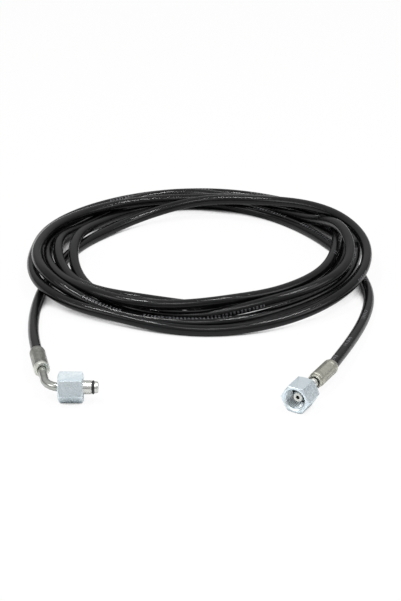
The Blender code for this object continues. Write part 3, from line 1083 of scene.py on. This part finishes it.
        radius, bore, deep = self.outside / 2.0, self.bore / 2.0, self.blind_bore
        lip = radius - self.end_chamfer
        last = len(centres) - 1
        run = self.run(centres)
        rings = [ring(0, bore, deep), ring(0, bore), ring(0, lip)]
        rings += [ring(i, radius) for i in range(len(centres))]
        rings += [ring(last, lip), ring(last, bore), ring(last, bore, -deep)]
        lengths = [deep, 0.0, 0.0, *run, run[-1], run[-1], run[-1] - deep]
        data = bpy.data.meshes.new("hose_line")
        data.from_pydata((np.vstack(rings) * MM).tolist(), [], self.wall(len(rings)))
        self.unroll(data, lengths)
        data.shade_smooth()
        obj = bpy.data.objects.new("hose_line", data)
        bpy.context.scene.collection.objects.link(obj)
        return obj, centres * MM

    def wall(self, rings: int) -> list[tuple[int, ...]]:
        """The faces between rings of points, and one that closes each end.

        Args:
            rings: how many rings there are.

        Returns:
            Each face's point numbers.
        """
        count = self.sides
        faces = []
        for i in range(rings - 1):
            low, high = i * count, (i + 1) * count
            for j in range(count):
                k = (j + 1) % count
                faces.append((low + j, high + j, high + k, low + k))
        faces.append(tuple(range(count)))
        faces.append(tuple(reversed(range((rings - 1) * count, rings * count))))
        return faces

    def unroll(self, data: bpy.types.Mesh, lengths: Sequence[float]) -> None:
        """Lays the wall out flat on the hose's UV map.

        Args:
            data: the hose's mesh.
            lengths: how far along the hose each ring lies, in mm.
        """
        layer = data.uv_layers.new(name=self.uv_name)
        flat = np.zeros((len(data.loops), 2))
        at = 0
        for first, second in zip(lengths, lengths[1:]):
            u0, u1 = first * MM, second * MM
            for j in range(self.sides):
                v0, v1 = j / self.sides, (j + 1) / self.sides
                flat[at : at + 4] = ((u0, v0), (u1, v0), (u1, v1), (u0, v1))
                at += 4
        layer.data.foreach_set("uv", flat.ravel())


# --- fittings ------------------------------------------------------------------------------


@dataclass(frozen=True)
class NutSizes:
    """A union nut, M16 x 1.5 by 19 mm across flats."""

    across_flats: float = 19.0
    length: float = 17.4
    thread_bore: float = 14.4
    thread_root: float = 15.6
    pitch: float = 1.5
    mouth: float = 16.4
    lip: float = 3.2
    front_face: float = 18.6
    rear_face: float = 17.4
    slope: float = 1.73

    @property
    def corner(self) -> float:
        """Half the width across corners."""
        return self.across_flats / 2.0 / math.cos(math.radians(30.0))

    def height_on_floor(self, roll: float) -> float:
        """How high the axis is when the nut lies on the floor, rolled by some degrees."""
        return self.corner * math.cos(math.radians(30.0 - abs(roll)))


NUT = NutSizes()
ELBOW_ROLL = 9.0
STRAIGHT_ROLL = 0.0
ELBOW_HEIGHT = NUT.height_on_floor(ELBOW_ROLL)
STRAIGHT_HEIGHT = NUT.height_on_floor(STRAIGHT_ROLL)


@dataclass
class UnionNut:
    """A hexagonal union nut with chamfered corners and a cut thread."""

    name: str
    hole: float
    sizes: NutSizes = NUT
    over: float = 1.0
    undercut: float = 0.55

    def bar(self) -> bpy.types.Object:
        """Makes the plain hexagonal bar, with a flat up and down.

        Returns:
            The bar.
        """
        deselect_all()
        bpy.ops.mesh.primitive_cylinder_add(
            vertices=6,
            radius=self.sizes.corner * MM,
            depth=self.sizes.length * MM,
            location=(self.sizes.length / 2.0 * MM, 0.0, 0.0),
            rotation=(0.0, math.radians(90.0), 0.0),
        )
        obj = bpy.context.object
        obj.name = self.name
        obj.data.name = self.name
        bpy.ops.object.transform_apply(location=True, rotation=True, scale=True)
        return obj

    def barrel(self) -> bpy.types.Object:
        """Turns the shape whose cones leave the chamfers on the bar's corners.

        Returns:
            The turned shape.
        """
        size, over = self.sizes, self.over
        wide = size.across_flats
        drop = over * size.slope
        rear = size.rear_face / 2.0
        front = size.front_face / 2.0
        outline = [
            (-over, 0.5),
            (-over, rear - drop),
            ((wide - rear) / size.slope, wide),
            (size.length - (wide - front) / size.slope, wide),
            (size.length + over, front - drop),
            (size.length + over, 0.5),
        ]
        return spun(f"{self.name}_barrel", outline, 96)

    def hollow(self) -> bpy.types.Object:
        """Turns the drilled hole, its lip, the thread's undercut and the chamfered mouth.

        Returns:
            The tool that cuts them.
        """
        size, over = self.sizes, self.over
        hole = self.hole / 2.0
        bore = size.thread_bore / 2.0
        mouth = size.mouth / 2.0
        outline = [
            (-over, 0.2),
            (-over, hole + over + 0.5),
            (0.5, hole),
            (size.lip - (bore - hole) * 0.3, hole),
            (size.lip, bore),
            (size.lip + 0.6, bore + self.undercut),
            (size.lip + 1.9, bore + self.undercut),
            (size.lip + 2.4, bore),
            (size.length - (mouth - bore), bore),
            (size.length + over, mouth + over),
            (size.length + over, 0.2),
        ]
        return spun(f"{self.name}_hollow", outline, 96)

    def tap(self) -> bpy.types.Object:
        """Winds the tool that leaves the thread in the bore.

        Returns:
            The tool, with both its ends closed.
        """
        size = self.sizes
        low = size.thread_bore / 2.0 - 0.15
        high = size.thread_root / 2.0
        half_flat = size.pitch / 16.0
        flank = (high - low) * math.tan(math.radians(30.0))
        middle = size.pitch / 2.0
        edge = middle - half_flat - flank
        outline = [
            (edge, low),
            (middle - half_flat, high),
            (middle + half_flat, high),
            (middle + half_flat + flank, low),
            (edge + size.pitch, low),
        ]
        start = size.lip + 1.2
        obj = traced(f"{self.name}_tap", outline, start)
        bpy.ops.object.mode_set(mode="OBJECT")
        turns = int((size.length - start) / size.pitch) + 1
        apply_modifier(
            obj,
            "SCREW",
            axis="X",
            angle=math.tau,
            screw_offset=size.pitch * MM,
            iterations=turns,
            steps=64,
            render_steps=64,
            use_merge_vertices=True,
            merge_threshold=MERGE,
        )
        only(obj)
        bpy.ops.object.mode_set(mode="EDIT")
        bpy.ops.mesh.select_all(action="SELECT")
        bpy.ops.mesh.remove_doubles(threshold=MERGE)
        bpy.ops.mesh.select_all(action="DESELECT")
        bpy.ops.mesh.select_mode(type="EDGE")
        bpy.ops.mesh.select_non_manifold()
        bpy.ops.mesh.fill_holes(sides=0)
        bpy.ops.mesh.select_mode(type="FACE")
        work = bmesh.from_edit_mesh(obj.data)
        for face in work.faces:
            face.select_set(len(face.verts) > 4)
        bmesh.update_edit_mesh(obj.data)
        bpy.ops.mesh.poke()
        bpy.ops.mesh.select_all(action="SELECT")
        bpy.ops.mesh.normals_make_consistent(inside=False)
        bpy.ops.object.mode_set(mode="OBJECT")
        return obj

    def build(self, frame: Matrix) -> bpy.types.Object:
        """Makes the nut in its place.

        Args:
            frame: the nut's frame, at the middle of its rear face.

        Returns:
            The nut.
        """
        nut = self.bar()
        cut(nut, self.barrel(), "INTERSECT")
        cut(nut, self.hollow(), "DIFFERENCE")
        soften(nut, 0.14, angle=20.0)
        cut(nut, self.tap(), "DIFFERENCE")
        only(nut)
        bpy.ops.object.shade_smooth_by_angle(angle=math.radians(32.0))
        apply_modifier(nut, "WEIGHTED_NORMAL", weight=80, keep_sharp=True)
        return settle_in(nut, frame)


@dataclass(frozen=True)
class Ferrule:
    """A ferrule crimped on the hose by eight jaws."""

    name: str
    stem: float
    outside: float = 11.3
    length: float = 28.0
    hose: float = 8.0
    slip: float = 0.15
    front_wall: float = 3.2
    step_length: float = 3.6
    nose_step: float = 0.35
    jaws: int = 8
    depth: float = 0.3
    crimp_start: float = 4.2
    crimp_end: float = 22.2
    crimp_rows: int = 26
    run_in: float = 1.2
    ridge_share: float = 0.13
    recess: float = 0.12

    def outline(self) -> list[tuple[float, float]]:
        """Draws the section.

        Returns:
            Its corners in mm, from the hose's mouth along the outside and back inside.
        """
        outer = self.outside / 2.0
        inner = self.hose / 2.0 + self.slip
        hole = self.stem / 2.0 + self.slip
        length = self.length
        step = length - self.step_length
        nose = outer - self.nose_step
        points = [(0.25, inner), (0.0, inner + 0.2), (0.0, inner + 0.45), (0.25, inner + 0.7)]
        points += [(0.9, outer - 0.5), (1.8, outer - 0.18), (2.9, outer)]
        zone = self.crimp_end - self.crimp_start
        rows = self.crimp_rows
        points += [(self.crimp_start + zone * i / rows, outer) for i in range(rows + 1)]
        points += [
            (step - 0.9, outer),
            (step - 0.3, outer - 0.06),
            (step, nose),
            (step + 0.3, nose - 0.1),
            (step + 0.6, nose),
            (length - 0.5, nose),
            (length - 0.15, nose - 0.15),
            (length, nose - 0.5),
            (length, hole + self.recess + 0.2),
            (length - 0.2, hole + self.recess),
            (length - 1.3, hole + self.recess),
            (length - 1.3, hole),
            (length - self.front_wall, hole),
            (length - self.front_wall, inner),
        ]
        return points

    def crimp(self, obj: bpy.types.Object) -> None:
        """Presses the jaws' arcs into the outside and leaves narrow ridges between them.

        Args:
            obj: the turned ferrule, along +X from the origin.
        """
        jaw = math.tau / self.jaws
        edge = self.ridge_share * jaw / 2.0
        outer = self.outside / 2.0 * MM
        for vert in obj.data.vertices:
            x, y, z = vert.co
            radius = math.hypot(y, z)
            if radius < outer - 0.02 * MM:
                continue
            before = (x / MM - self.crimp_start) / self.run_in
            behind = (self.crimp_end - x / MM) / self.run_in
            ease = max(0.0, min(1.0, before, behind))
            ease = ease * ease * (3.0 - 2.0 * ease)
            turn = abs((math.atan2(z, y) % jaw) - jaw / 2.0)
            wall = max(0.0, min(1.0, (jaw / 2.0 - edge - turn) / (1.4 * edge)))
            flat = (outer - self.depth * MM) / max(math.cos(turn * 0.55), 0.8)
            pressed = outer + (min(flat, outer) - outer) * wall * ease
            vert.co.y = y * pressed / radius
            vert.co.z = z * pressed / radius

    def build(self, frame: Matrix) -> bpy.types.Object:
        """Makes the ferrule in its place.

        Args:
            frame: the fitting's frame, at the ferrule's mouth.

        Returns:
            The ferrule.
        """
        obj = spun(self.name, self.outline(), 160)
        self.crimp(obj)
        only(obj)
        bpy.ops.object.shade_smooth_by_angle(angle=math.radians(38.0))
        return settle_in(obj, frame)


@dataclass(frozen=True)
class Tail:
    """The barbed tail that the hose is crimped on."""

    bore: float = 2.2
    crest: float = 1.7
    root: float = 1.5
    barbs: int = 4
    pitch: float = 4.2
    end: float = 22.8
    shoulder: float = 3.85

    def outline(self) -> list[tuple[float, float]]:
        """Draws the outside.

        Returns:
            Its corners in mm, from the tip to the shoulder that stops the hose.
        """
        points = [(self.end - self.barbs * self.pitch - 1.0, self.root)]
        for i in range(self.barbs):
            x = self.end - (self.barbs - i) * self.pitch
            points += [(x, self.root), (x + 1.4, self.crest), (x + 1.6, self.root)]
        return [*points, (self.end, self.root), (self.end, self.shoulder)]

    @property
    def tip(self) -> float:
        """Where the tail begins along the fitting's axis."""
        return self.end - self.barbs * self.pitch - 1.0


@dataclass(frozen=True)
class ConeNose:
    """A 24 degree cone nose with the groove for its O-ring."""

    start: float
    base: float
    base_length: float
    length: float
    bore: float
    ring_section: float = 1.8
    proud: float = 0.35
    gap: float = 0.12
    chamfer: float = 0.5
    half_angle: float = 12.0
    seam: float = 0.035

    def radius(self, x: float) -> float:
        """The cone's radius at this place along the axis."""
        slope = math.tan(math.radians(self.half_angle))
        return self.base / 2.0 - (x - self.start - self.base_length) * slope

    @property
    def groove(self) -> tuple[float, float, float]:
        """Reckons the O-ring's groove.

        Returns:
            Where it starts and ends, and its floor's radius, in mm.
        """
        begin = self.start + self.base_length + 0.4
        finish = begin + self.ring_section + 2.0 * self.gap
        middle = (begin + finish) / 2.0
        floor = self.radius(middle) + self.proud - self.ring_section - self.gap
        return begin, finish, floor

    def outline(self) -> list[tuple[float, float]]:
        """Draws the outside.

        Returns:
            Its corners in mm, from the collar to the bore at the tip.
        """
        cone = self.start + self.base_length
        begin, finish, floor = self.groove
        tip = self.start + self.length
        return [
            (self.start, self.base / 2.0),
            (cone - 0.55, self.base / 2.0),
            (cone - 0.45, self.base / 2.0 - 0.12),
            (cone - 0.2, self.base / 2.0 - 0.12),
            (cone - 0.1, self.base / 2.0),
            (begin, self.radius(begin)),
            (begin, floor),
            (finish, floor),
            (finish, self.radius(finish)),
            (tip - self.chamfer, self.radius(tip - self.chamfer)),
            (tip, self.radius(tip) - self.chamfer),
            (tip, self.bore / 2.0 + 0.25),
            (tip - 0.25, self.bore / 2.0),
        ]

    def o_ring(self, name: str) -> bpy.types.Object:
        """The O-ring in its groove, a little flat where it sits, with its moulding seam.

        Args:
            name: the piece's name.

        Returns:
            The ring, along +X from the nose's origin.
        """
        begin, finish, floor = self.groove
        middle = (begin + finish) / 2.0
        section = self.ring_section / 2.0
        centre = floor + self.gap + section
        points = 22
        outline = []
        for i in range(points):
            turn = i * math.tau / points
            seam = self.seam if i % (points // 2) == 0 else 0.0
            up = math.sin(turn) * (section if math.sin(turn) > 0.0 else section * 0.94)
            outline.append((middle + (section + seam) * math.cos(turn), centre + up))
        ring = spun(name, outline, 96)
        soften(ring, 0.0)
        return ring


@dataclass
class ElbowEnd:
    """The end with the bent tube: ferrule, insert, tube, cone nose, O-ring and union nut."""

    tube: float = 6.0
    tube_bore: float = 3.0
    bend_radius: float = 13.0
    lead_in: float = 14.7
    lead_out: float = 11.8
    collar: float = 12.4
    collar_length: float = 2.4
    socket_depth: float = 3.5
    bend_room: float = 2.2
    nut_rest: float = 11.2
    gap: float = 0.3
    ferrule: Ferrule = Ferrule("elbow_ferrule_shell", 6.0, nose_step=0.0)
    nose: ConeNose = ConeNose(2.4, 9.5, 5.6, 10.6, 3.0)
    tail: Tail = Tail()

    @property
    def turn(self) -> float:
        """The bend's angle, which brings the nose parallel to +X."""
        return math.radians(-ELBOW_HEADING)

    @property
    def frame(self) -> Matrix:
        """The ferrule's frame."""
        return fitting_frame(ELBOW_MOUTH, ELBOW_HEIGHT, ELBOW_HEADING)

    @property
    def nose_frame(self) -> Matrix:
        """Reckons where the nose stands past the bend.

        Returns:
            The nose's frame, at the rear of its collar.
        """
        lead = self.ferrule.length + self.lead_in
        ahead = self.bend_radius * math.sin(self.turn)
        aside = self.bend_radius * (1.0 - math.cos(self.turn))
        corner = Matrix.Translation(((lead + ahead) * MM, aside * MM, 0.0))
        out = Matrix.Rotation(self.turn, 4, "Z")
        return slid(self.frame @ corner @ out, self.lead_out)

    @property
    def shoulder_end(self) -> float:
        """Where the insert's shoulder ends, against the ferrule's front wall."""
        return self.ferrule.length - self.ferrule.front_wall - self.gap

    def insert(self) -> bpy.types.Object:
        """Makes the barbed insert inside the hose.

        Returns:
            The insert.
        """
        tail = self.tail
        outline = [
            *tail.outline(),
            (self.shoulder_end, tail.shoulder),
            (self.shoulder_end, tail.bore / 2.0),
            (tail.tip, tail.bore / 2.0),
        ]
        obj = spun("elbow_insert_barbs", outline, 64)
        soften(obj, 0.06)
        return settle_in(obj, self.frame)

    def bent_tube(self) -> bpy.types.Object:
        """Draws a ring out straight, spins it round the bend and draws it out again.

        Returns:
            The tube.
        """
        start = self.shoulder_end + self.gap
        lead = self.ferrule.length + self.lead_in
        reach = self.lead_out + self.socket_depth - self.gap
        rows = 4
        deselect_all()
        bpy.ops.mesh.primitive_circle_add(
            vertices=64,
            radius=self.tube / 2.0 * MM,
            location=(start * MM, 0.0, 0.0),
            rotation=(0.0, math.radians(90.0), 0.0),
        )
        obj = bpy.context.object
        obj.name = "elbow_bent_tube"
        obj.data.name = obj.name
        bpy.ops.object.transform_apply(location=True, rotation=True, scale=True)
        bpy.ops.object.mode_set(mode="EDIT")
        bpy.ops.mesh.select_all(action="SELECT")
        ahead = ((lead - start) / rows * MM, 0.0, 0.0)
        for _ in range(rows):
            bpy.ops.mesh.extrude_region_move(TRANSFORM_OT_translate={"value": ahead})
        bpy.ops.mesh.spin(
            steps=36,
            angle=self.turn,
            center=(lead * MM, self.bend_radius * MM, 0.0),
            axis=(0.0, 0.0, -1.0),
        )
        way = Vector((math.cos(self.turn), math.sin(self.turn), 0.0)) * (reach / rows * MM)
        for _ in range(rows):
            bpy.ops.mesh.extrude_region_move(TRANSFORM_OT_translate={"value": way})
        merge_doubles()
        bpy.ops.object.mode_set(mode="OBJECT")
        self.face_outwards(obj)
        apply_modifier(
            obj,
            "SOLIDIFY",
            thickness=(self.tube - self.tube_bore) / 2.0 * MM,
            offset=-1.0,
            use_even_offset=True,
            use_rim=True,
        )
        only(obj)
        bpy.ops.object.shade_smooth_by_angle(angle=math.radians(40.0))
        return settle_in(obj, self.frame)

    def face_outwards(self, obj: bpy.types.Object) -> None:
        """Turns the open tube's faces away from its middle line if they point in.

        Args:
            obj: the tube, drawn from near the origin along +X first.
        """
        data = obj.data
        face = min(data.polygons, key=lambda one: one.center.x)
        out = Vector((0.0, face.center.y, face.center.z))
        if face.normal.dot(out) < 0.0:
            data.flip_normals()

    def cone(self) -> bpy.types.Object:
        """Makes the collar and the cone nose, with the socket that takes the tube.

        Returns:
            The nose.
        """
        socket = self.tube / 2.0 + 0.15
        collar = self.collar / 2.0
        outline = [
            (0.0, socket),
            (0.0, collar - 0.4),
            (0.4, collar),
            (self.collar_length - 0.4, collar),
            (self.collar_length, collar - 0.4),
            *self.nose.outline(),
            (self.socket_depth, self.nose.bore / 2.0),
            (self.socket_depth, socket),
        ]
        obj = spun("elbow_cone_nose", outline, 128)
        soften(obj, 0.06, angle=35.0)
        return settle_in(obj, self.nose_frame)

    def ring(self) -> bpy.types.Object:
        """The O-ring on the nose."""
        return settle_in(self.nose.o_ring("elbow_seal_ring"), self.nose_frame)

    def nut_frame(self) -> Matrix:
        """The nut's frame, pushed back against the bend."""
        back = -self.gap - NUT.lip - self.nut_rest
        return slid(rolled(self.nose_frame, ELBOW_ROLL), back)

    def nut(self) -> bpy.types.Object:
        """The union nut that slides on the tube."""
        hole = self.tube + 2.0 * self.bend_room
        return UnionNut("elbow_union_nut", hole).build(self.nut_frame())


@dataclass
class StraightEnd:
    """The straight end: ferrule, stem with its cone nose, O-ring and union nut."""

    neck: float = 7.0
    neck_shown: float = 12.0
    collar: float = 12.4
    collar_length: float = 2.2
    running_gap: float = 0.25
    gap: float = 0.3
    ferrule: Ferrule = Ferrule("straight_ferrule_shell", 7.0, recess=0.6, nose_step=0.5)
    tail: Tail = Tail()

    @property
    def frame(self) -> Matrix:
        """The fitting's frame, at the ferrule's mouth."""
        return fitting_frame(STRAIGHT_MOUTH, STRAIGHT_HEIGHT, STRAIGHT_HEADING)

    @property
    def nut_at(self) -> float:
        """Where the nut's rear face stands along the axis."""
        return self.ferrule.length + self.neck_shown

    @property
    def nose(self) -> ConeNose:
        """The cone nose in front of the collar."""
        start = self.nut_at + NUT.lip + self.gap + self.collar_length
        return ConeNose(start, 9.5, 2.0, 7.2, 2.6)

    def stem(self) -> bpy.types.Object:
        """Makes the stem: barbed tail, neck with its guard ring, collar and nose.

        Returns:
            The stem.
        """
        tail = self.tail
        shoulder = self.ferrule.length - self.ferrule.front_wall - self.gap
        neck = self.neck / 2.0
        collar = self.collar / 2.0
        collar_at = self.nut_at + NUT.lip + self.gap
        nose_at = collar_at + self.collar_length
        front = self.ferrule.length
        outline = [
            *tail.outline(),
            (shoulder, tail.shoulder),
            (shoulder, neck),
            (front + 2.6, neck),
            (front + 2.9, neck - 0.35),
            (front + 4.6, neck - 0.35),
            (front + 4.9, neck),
            (collar_at, neck),
            (collar_at, collar - 0.4),
            (collar_at + 0.4, collar),
            (nose_at - 0.4, collar),
            (nose_at, collar - 0.4),
            *self.nose.outline(),
            (tail.end - 0.3, self.nose.bore / 2.0),
            (tail.end - 2.3, tail.bore / 2.0),
            (tail.tip, tail.bore / 2.0),
        ]
        obj = spun("straight_cone_stem", outline, 128)
        soften(obj, 0.06, angle=35.0)
        return settle_in(obj, self.frame)

    def ring(self) -> bpy.types.Object:
        """The O-ring on the nose."""
        return settle_in(self.nose.o_ring("straight_seal_ring"), self.frame)

    def nut_frame(self) -> Matrix:
        """The nut's frame, forward against the collar."""
        return slid(rolled(self.frame, STRAIGHT_ROLL), self.nut_at)

    def nut(self) -> bpy.types.Object:
        """The union nut that turns on the stem."""
        hole = self.neck + 2.0 * self.running_gap
        return UnionNut("straight_union_nut", hole).build(self.nut_frame())


# --- finishes ------------------------------------------------------------------------------

NUT_FINISH = PlatedSteel(
    name="nut_blue_zinc",
    light=(0.76, 0.87, 0.91),
    dark=(0.60, 0.69, 0.74),
    tint=(0.80, 0.79, 0.88),
    roughness=0.42,
    roughness_swing=0.16,
    mottle_size=380.0,
    mottle_contrast=0.9,
    ring_share=0.2,
    rub_highlight=0.5,
    bump=0.00004,
)
ELBOW_FERRULE_FINISH = PlatedSteel(
    name="ferrule_dark_zinc",
    light=(0.47, 0.48, 0.44),
    dark=(0.15, 0.15, 0.135),
    tint=(0.36, 0.36, 0.32),
    roughness=0.4,
    roughness_swing=0.12,
    mottle_size=520.0,
    mottle_contrast=0.6,
    line_fineness=1200.0,
    line_share=0.9,
    rub_highlight=0.6,
    bump=0.00006,
    collar_from=0.0246,
)
STRAIGHT_FERRULE_FINISH = PlatedSteel(
    name="ferrule_grey_zinc",
    light=(0.54, 0.54, 0.48),
    dark=(0.27, 0.27, 0.235),
    tint=(0.46, 0.45, 0.38),
    roughness=0.42,
    roughness_swing=0.1,
    mottle_size=520.0,
    mottle_contrast=0.5,
    line_fineness=1500.0,
    line_share=0.35,
    rub_highlight=0.6,
    bump=0.00004,
)
TUBE_FINISH = PlatedSteel(
    name="tube_bright_steel",
    light=(0.50, 0.51, 0.48),
    dark=(0.30, 0.31, 0.29),
    tint=(0.42, 0.43, 0.40),
    roughness=0.22,
    roughness_swing=0.1,
    mottle_size=260.0,
    mottle_contrast=0.6,
    line_fineness=1300.0,
    line_share=0.12,
    rub_highlight=0.2,
    bump=0.00001,
)
TURNED_FINISH = PlatedSteel(
    name="stem_turned_steel",
    light=(0.70, 0.71, 0.68),
    dark=(0.46, 0.47, 0.45),
    tint=(0.62, 0.63, 0.61),
    roughness=0.3,
    roughness_swing=0.1,
    mottle_size=300.0,
    mottle_contrast=0.6,
    ring_pitch=0.00028,
    ring_share=0.6,
    rub_highlight=0.4,
    bump=0.00002,
)


# --- floor, light and camera ----------------------------------------------------------------


@dataclass(frozen=True)
class Lamp:
    """A soft lamp that faces the coil, its place and size in metres, its power in watts."""

    name: str
    place: tuple[float, float, float]
    size: tuple[float, float]
    power: float

    def build(self) -> None:
        """Hangs the lamp."""
        data = bpy.data.lights.new(self.name, "AREA")
        data.shape = "RECTANGLE"
        data.size, data.size_y = self.size
        data.energy = self.power
        obj = bpy.data.objects.new(self.name, data)
        bpy.context.scene.collection.objects.link(obj)
        obj.location = self.place
        aim = Vector((0.01, 0.14, 0.01)) - Vector(self.place)
        obj.rotation_euler = aim.to_track_quat("-Z", "Y").to_euler()


@dataclass
class Studio:
    """The pale floor, the soft lamps and the camera."""

    target: tuple[float, float, float] = (12.3, 125.9, 6.0)
    elevation: float = 26.5
    distance: float = 1500.0
    focal_pixels: float = 2002.5
    picture_width: int = 401
    surround: float = 0.45
    floor_white: Colour = (0.86, 0.86, 0.86)
    floor_painted_shade: Colour = (0.1, 0.1, 0.1)
    floor_glow: float = 0.93
    lamps: tuple[Lamp, ...] = (
        Lamp("overhead", (0.0, -0.6, 1.2), (0.5, 0.26), 3.6),
        Lamp("left", (-1.2, -0.5, 0.7), (0.6, 0.6), 4.0),
        Lamp("right", (1.2, -0.4, 0.8), (0.6, 0.6), 3.5),
        Lamp("strip_left", (-0.46, 0.05, 1.3), (0.14, 0.12), 6.4),
        Lamp("strip_right", (0.5, 0.05, 1.3), (0.14, 0.12), 6.4),
    )

    def camera(self) -> None:
        """Places the camera at the object's viewing angle."""
        data = bpy.data.cameras.new("camera")
        data.sensor_fit = "HORIZONTAL"
        data.sensor_width = 36.0
        data.lens = self.focal_pixels * data.sensor_width / self.picture_width
        data.clip_end = 50.0
        obj = bpy.data.objects.new("camera", data)
        bpy.context.scene.collection.objects.link(obj)
        tilt = math.radians(self.elevation)
        back = Vector((0.0, -math.cos(tilt), math.sin(tilt)))
        obj.location = (Vector(self.target) + self.distance * back) * MM
        obj.rotation_euler = (math.radians(90.0 - self.elevation), 0.0, 0.0)
        bpy.context.scene.camera = obj

    def world(self) -> None:
        """A soft surrounding, plain white to the camera and paler upwards in reflections."""
        world = bpy.data.worlds.new("studio")
        bpy.context.scene.world = world
        world.use_nodes = True
        desk = Desk(world.node_tree)
        ground = world.node_tree.nodes["Background"]
        ground.inputs["Color"].default_value = rgba((1.0, 1.0, 1.0))
        rays = desk.add("ShaderNodeLightPath").outputs
        clear = desk.math("MAXIMUM", rays["Is Camera Ray"], rays["Is Transmission Ray"])
        glossy = rays["Is Glossy Ray"]
        way = desk.add("ShaderNodeTexCoord").outputs["Generated"]
        sky = desk.between(desk.apart(way)["Z"], 0.0, 0.7, 0.3, 0.85)
        plain = desk.math("MULTIPLY_ADD", glossy, -self.surround, self.surround)
        strength = desk.math("MAXIMUM", plain, desk.math("MULTIPLY", glossy, sky))
        desk.feed(ground.inputs["Strength"], desk.math("MAXIMUM", strength, clear))

    def floor(self) -> None:
        """The plain pale floor, white to the camera, with painted shade that darkens its colour
        between close turns.
        """
        deselect_all()
        bpy.ops.mesh.primitive_plane_add(size=8.0, location=(0.0, 0.0, -0.0002))
        obj = bpy.context.object
        obj.name = "floor"
        made, desk, shader = new_material("floor_white")
        shader.inputs["Roughness"].default_value = 0.9
        shader.inputs["Specular IOR Level"].default_value = 0.1
        hidden = desk.add("ShaderNodeAmbientOcclusion", {"Distance": 0.03}, samples=16)
        clear = desk.between(hidden.outputs["AO"], 0.1, 0.32, 0.0, self.floor_glow)
        # Painted shade: the floor's colour goes dark where close turns of the hose hide it from
        # the sky.
        pale = desk.mix(clear, rgba(self.floor_painted_shade), rgba(self.floor_white))
        desk.feed(shader.inputs["Base Color"], pale)
        camera = desk.add("ShaderNodeLightPath").outputs["Is Camera Ray"]
        glow = desk.add("ShaderNodeEmission", {"Strength": 1.0}).outputs[0]
        share = desk.math("MULTIPLY", camera, clear)
        blend = desk.add("ShaderNodeMixShader", {0: share, 1: shader.outputs[0], 2: glow})
        out = made.node_tree.nodes["Material Output"]
        desk.feed(out.inputs["Surface"], blend.outputs[0])
        wear_material(obj, made)

    def build(self) -> None:
        """Sets up the camera, the floor, the surrounding and the lamps."""
        bpy.context.scene.view_settings.view_transform = "Standard"
        self.camera()
        self.floor()
        self.world()
        for lamp in self.lamps:
            lamp.build()


# --- assembly --------------------------------------------------------------------------------


def fit(
    obj: bpy.types.Object,
    look: bpy.types.Material,
    body: Body,
    nodes: Sequence[str],
) -> None:
    """Dresses a piece, rides it on its body and lets it stand for its solids.

    Args:
        obj: the piece.
        look: its material.
        body: the body it moves with.
        nodes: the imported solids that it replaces.
    """
    wear_material(obj, look)
    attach(obj, body.value)
    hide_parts(*nodes)
    LOG.info("%s: %d vertices, stands for %s", obj.name, len(obj.data.vertices), nodes)


def build_hose(effects: Effects) -> None:
    """Args:
        effects: the shared groups.
    """
    hose = Hose()
    tube, centres = hose.build()
    look = HoseCover().material(effects, hose.uv_name)
    nodes = [
        f"{part}_{layer}"
        for part in ("coil", "elbow_side", "straight_side")
        for layer in ("cover", "core")
    ]
    fit(tube, look, Body.HOSE, nodes)
    LOG.info("hose: %.3f m long on its route", float(hose.run(centres)[-1]))


def build_elbow(effects: Effects) -> None:
    """Builds the bent end.

    Args:
        effects: the shared groups.
    """
    end = ElbowEnd()
    frame, nose = end.frame, end.nose_frame
    ferrule_look = ELBOW_FERRULE_FINISH.material(effects, frame)
    fit(end.ferrule.build(frame), ferrule_look, Body.HOSE, ["elbow_ferrule"])
    tube_look = TUBE_FINISH.material(effects, frame)
    fit(end.insert(), tube_look, Body.HOSE, ["elbow_insert"])
    fit(end.bent_tube(), tube_look, Body.HOSE, ["elbow_tube"])
    turned_look = TURNED_FINISH.material(effects, nose)
    fit(end.cone(), turned_look, Body.HOSE, ["elbow_nose"])
    rubber = BlackRubber().material(effects)
    fit(end.ring(), rubber, Body.HOSE, ["elbow_o_ring"])
    nut_look = NUT_FINISH.material(effects, end.nut_frame())
    fit(end.nut(), nut_look, Body.ELBOW_UNION, ["elbow_nut"])


def build_straight(effects: Effects) -> None:
    """Builds the straight end.

    Args:
        effects: the shared groups.
    """
    end = StraightEnd()
    frame = end.frame
    ferrule_look = STRAIGHT_FERRULE_FINISH.material(effects, frame)
    fit(end.ferrule.build(frame), ferrule_look, Body.HOSE, ["straight_ferrule"])
    turned_look = TURNED_FINISH.material(effects, frame)
    fit(end.stem(), turned_look, Body.HOSE, ["straight_stem"])
    rubber = BlackRubber().material(effects)
    fit(end.ring(), rubber, Body.HOSE, ["straight_o_ring"])
    nut_look = NUT_FINISH.material(effects, end.nut_frame())
    fit(end.nut(), nut_look, Body.STRAIGHT_UNION, ["straight_nut"])


def main() -> None:
    """Builds the scene in order."""
    logging.basicConfig(level=logging.INFO, format="%(name)s: %(message)s")
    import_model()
    Studio().build()
    effects = Effects()
    build_hose(effects)
    build_elbow(effects)
    build_straight(effects)
    deselect_all()


if __name__ == "__main__":
    main()
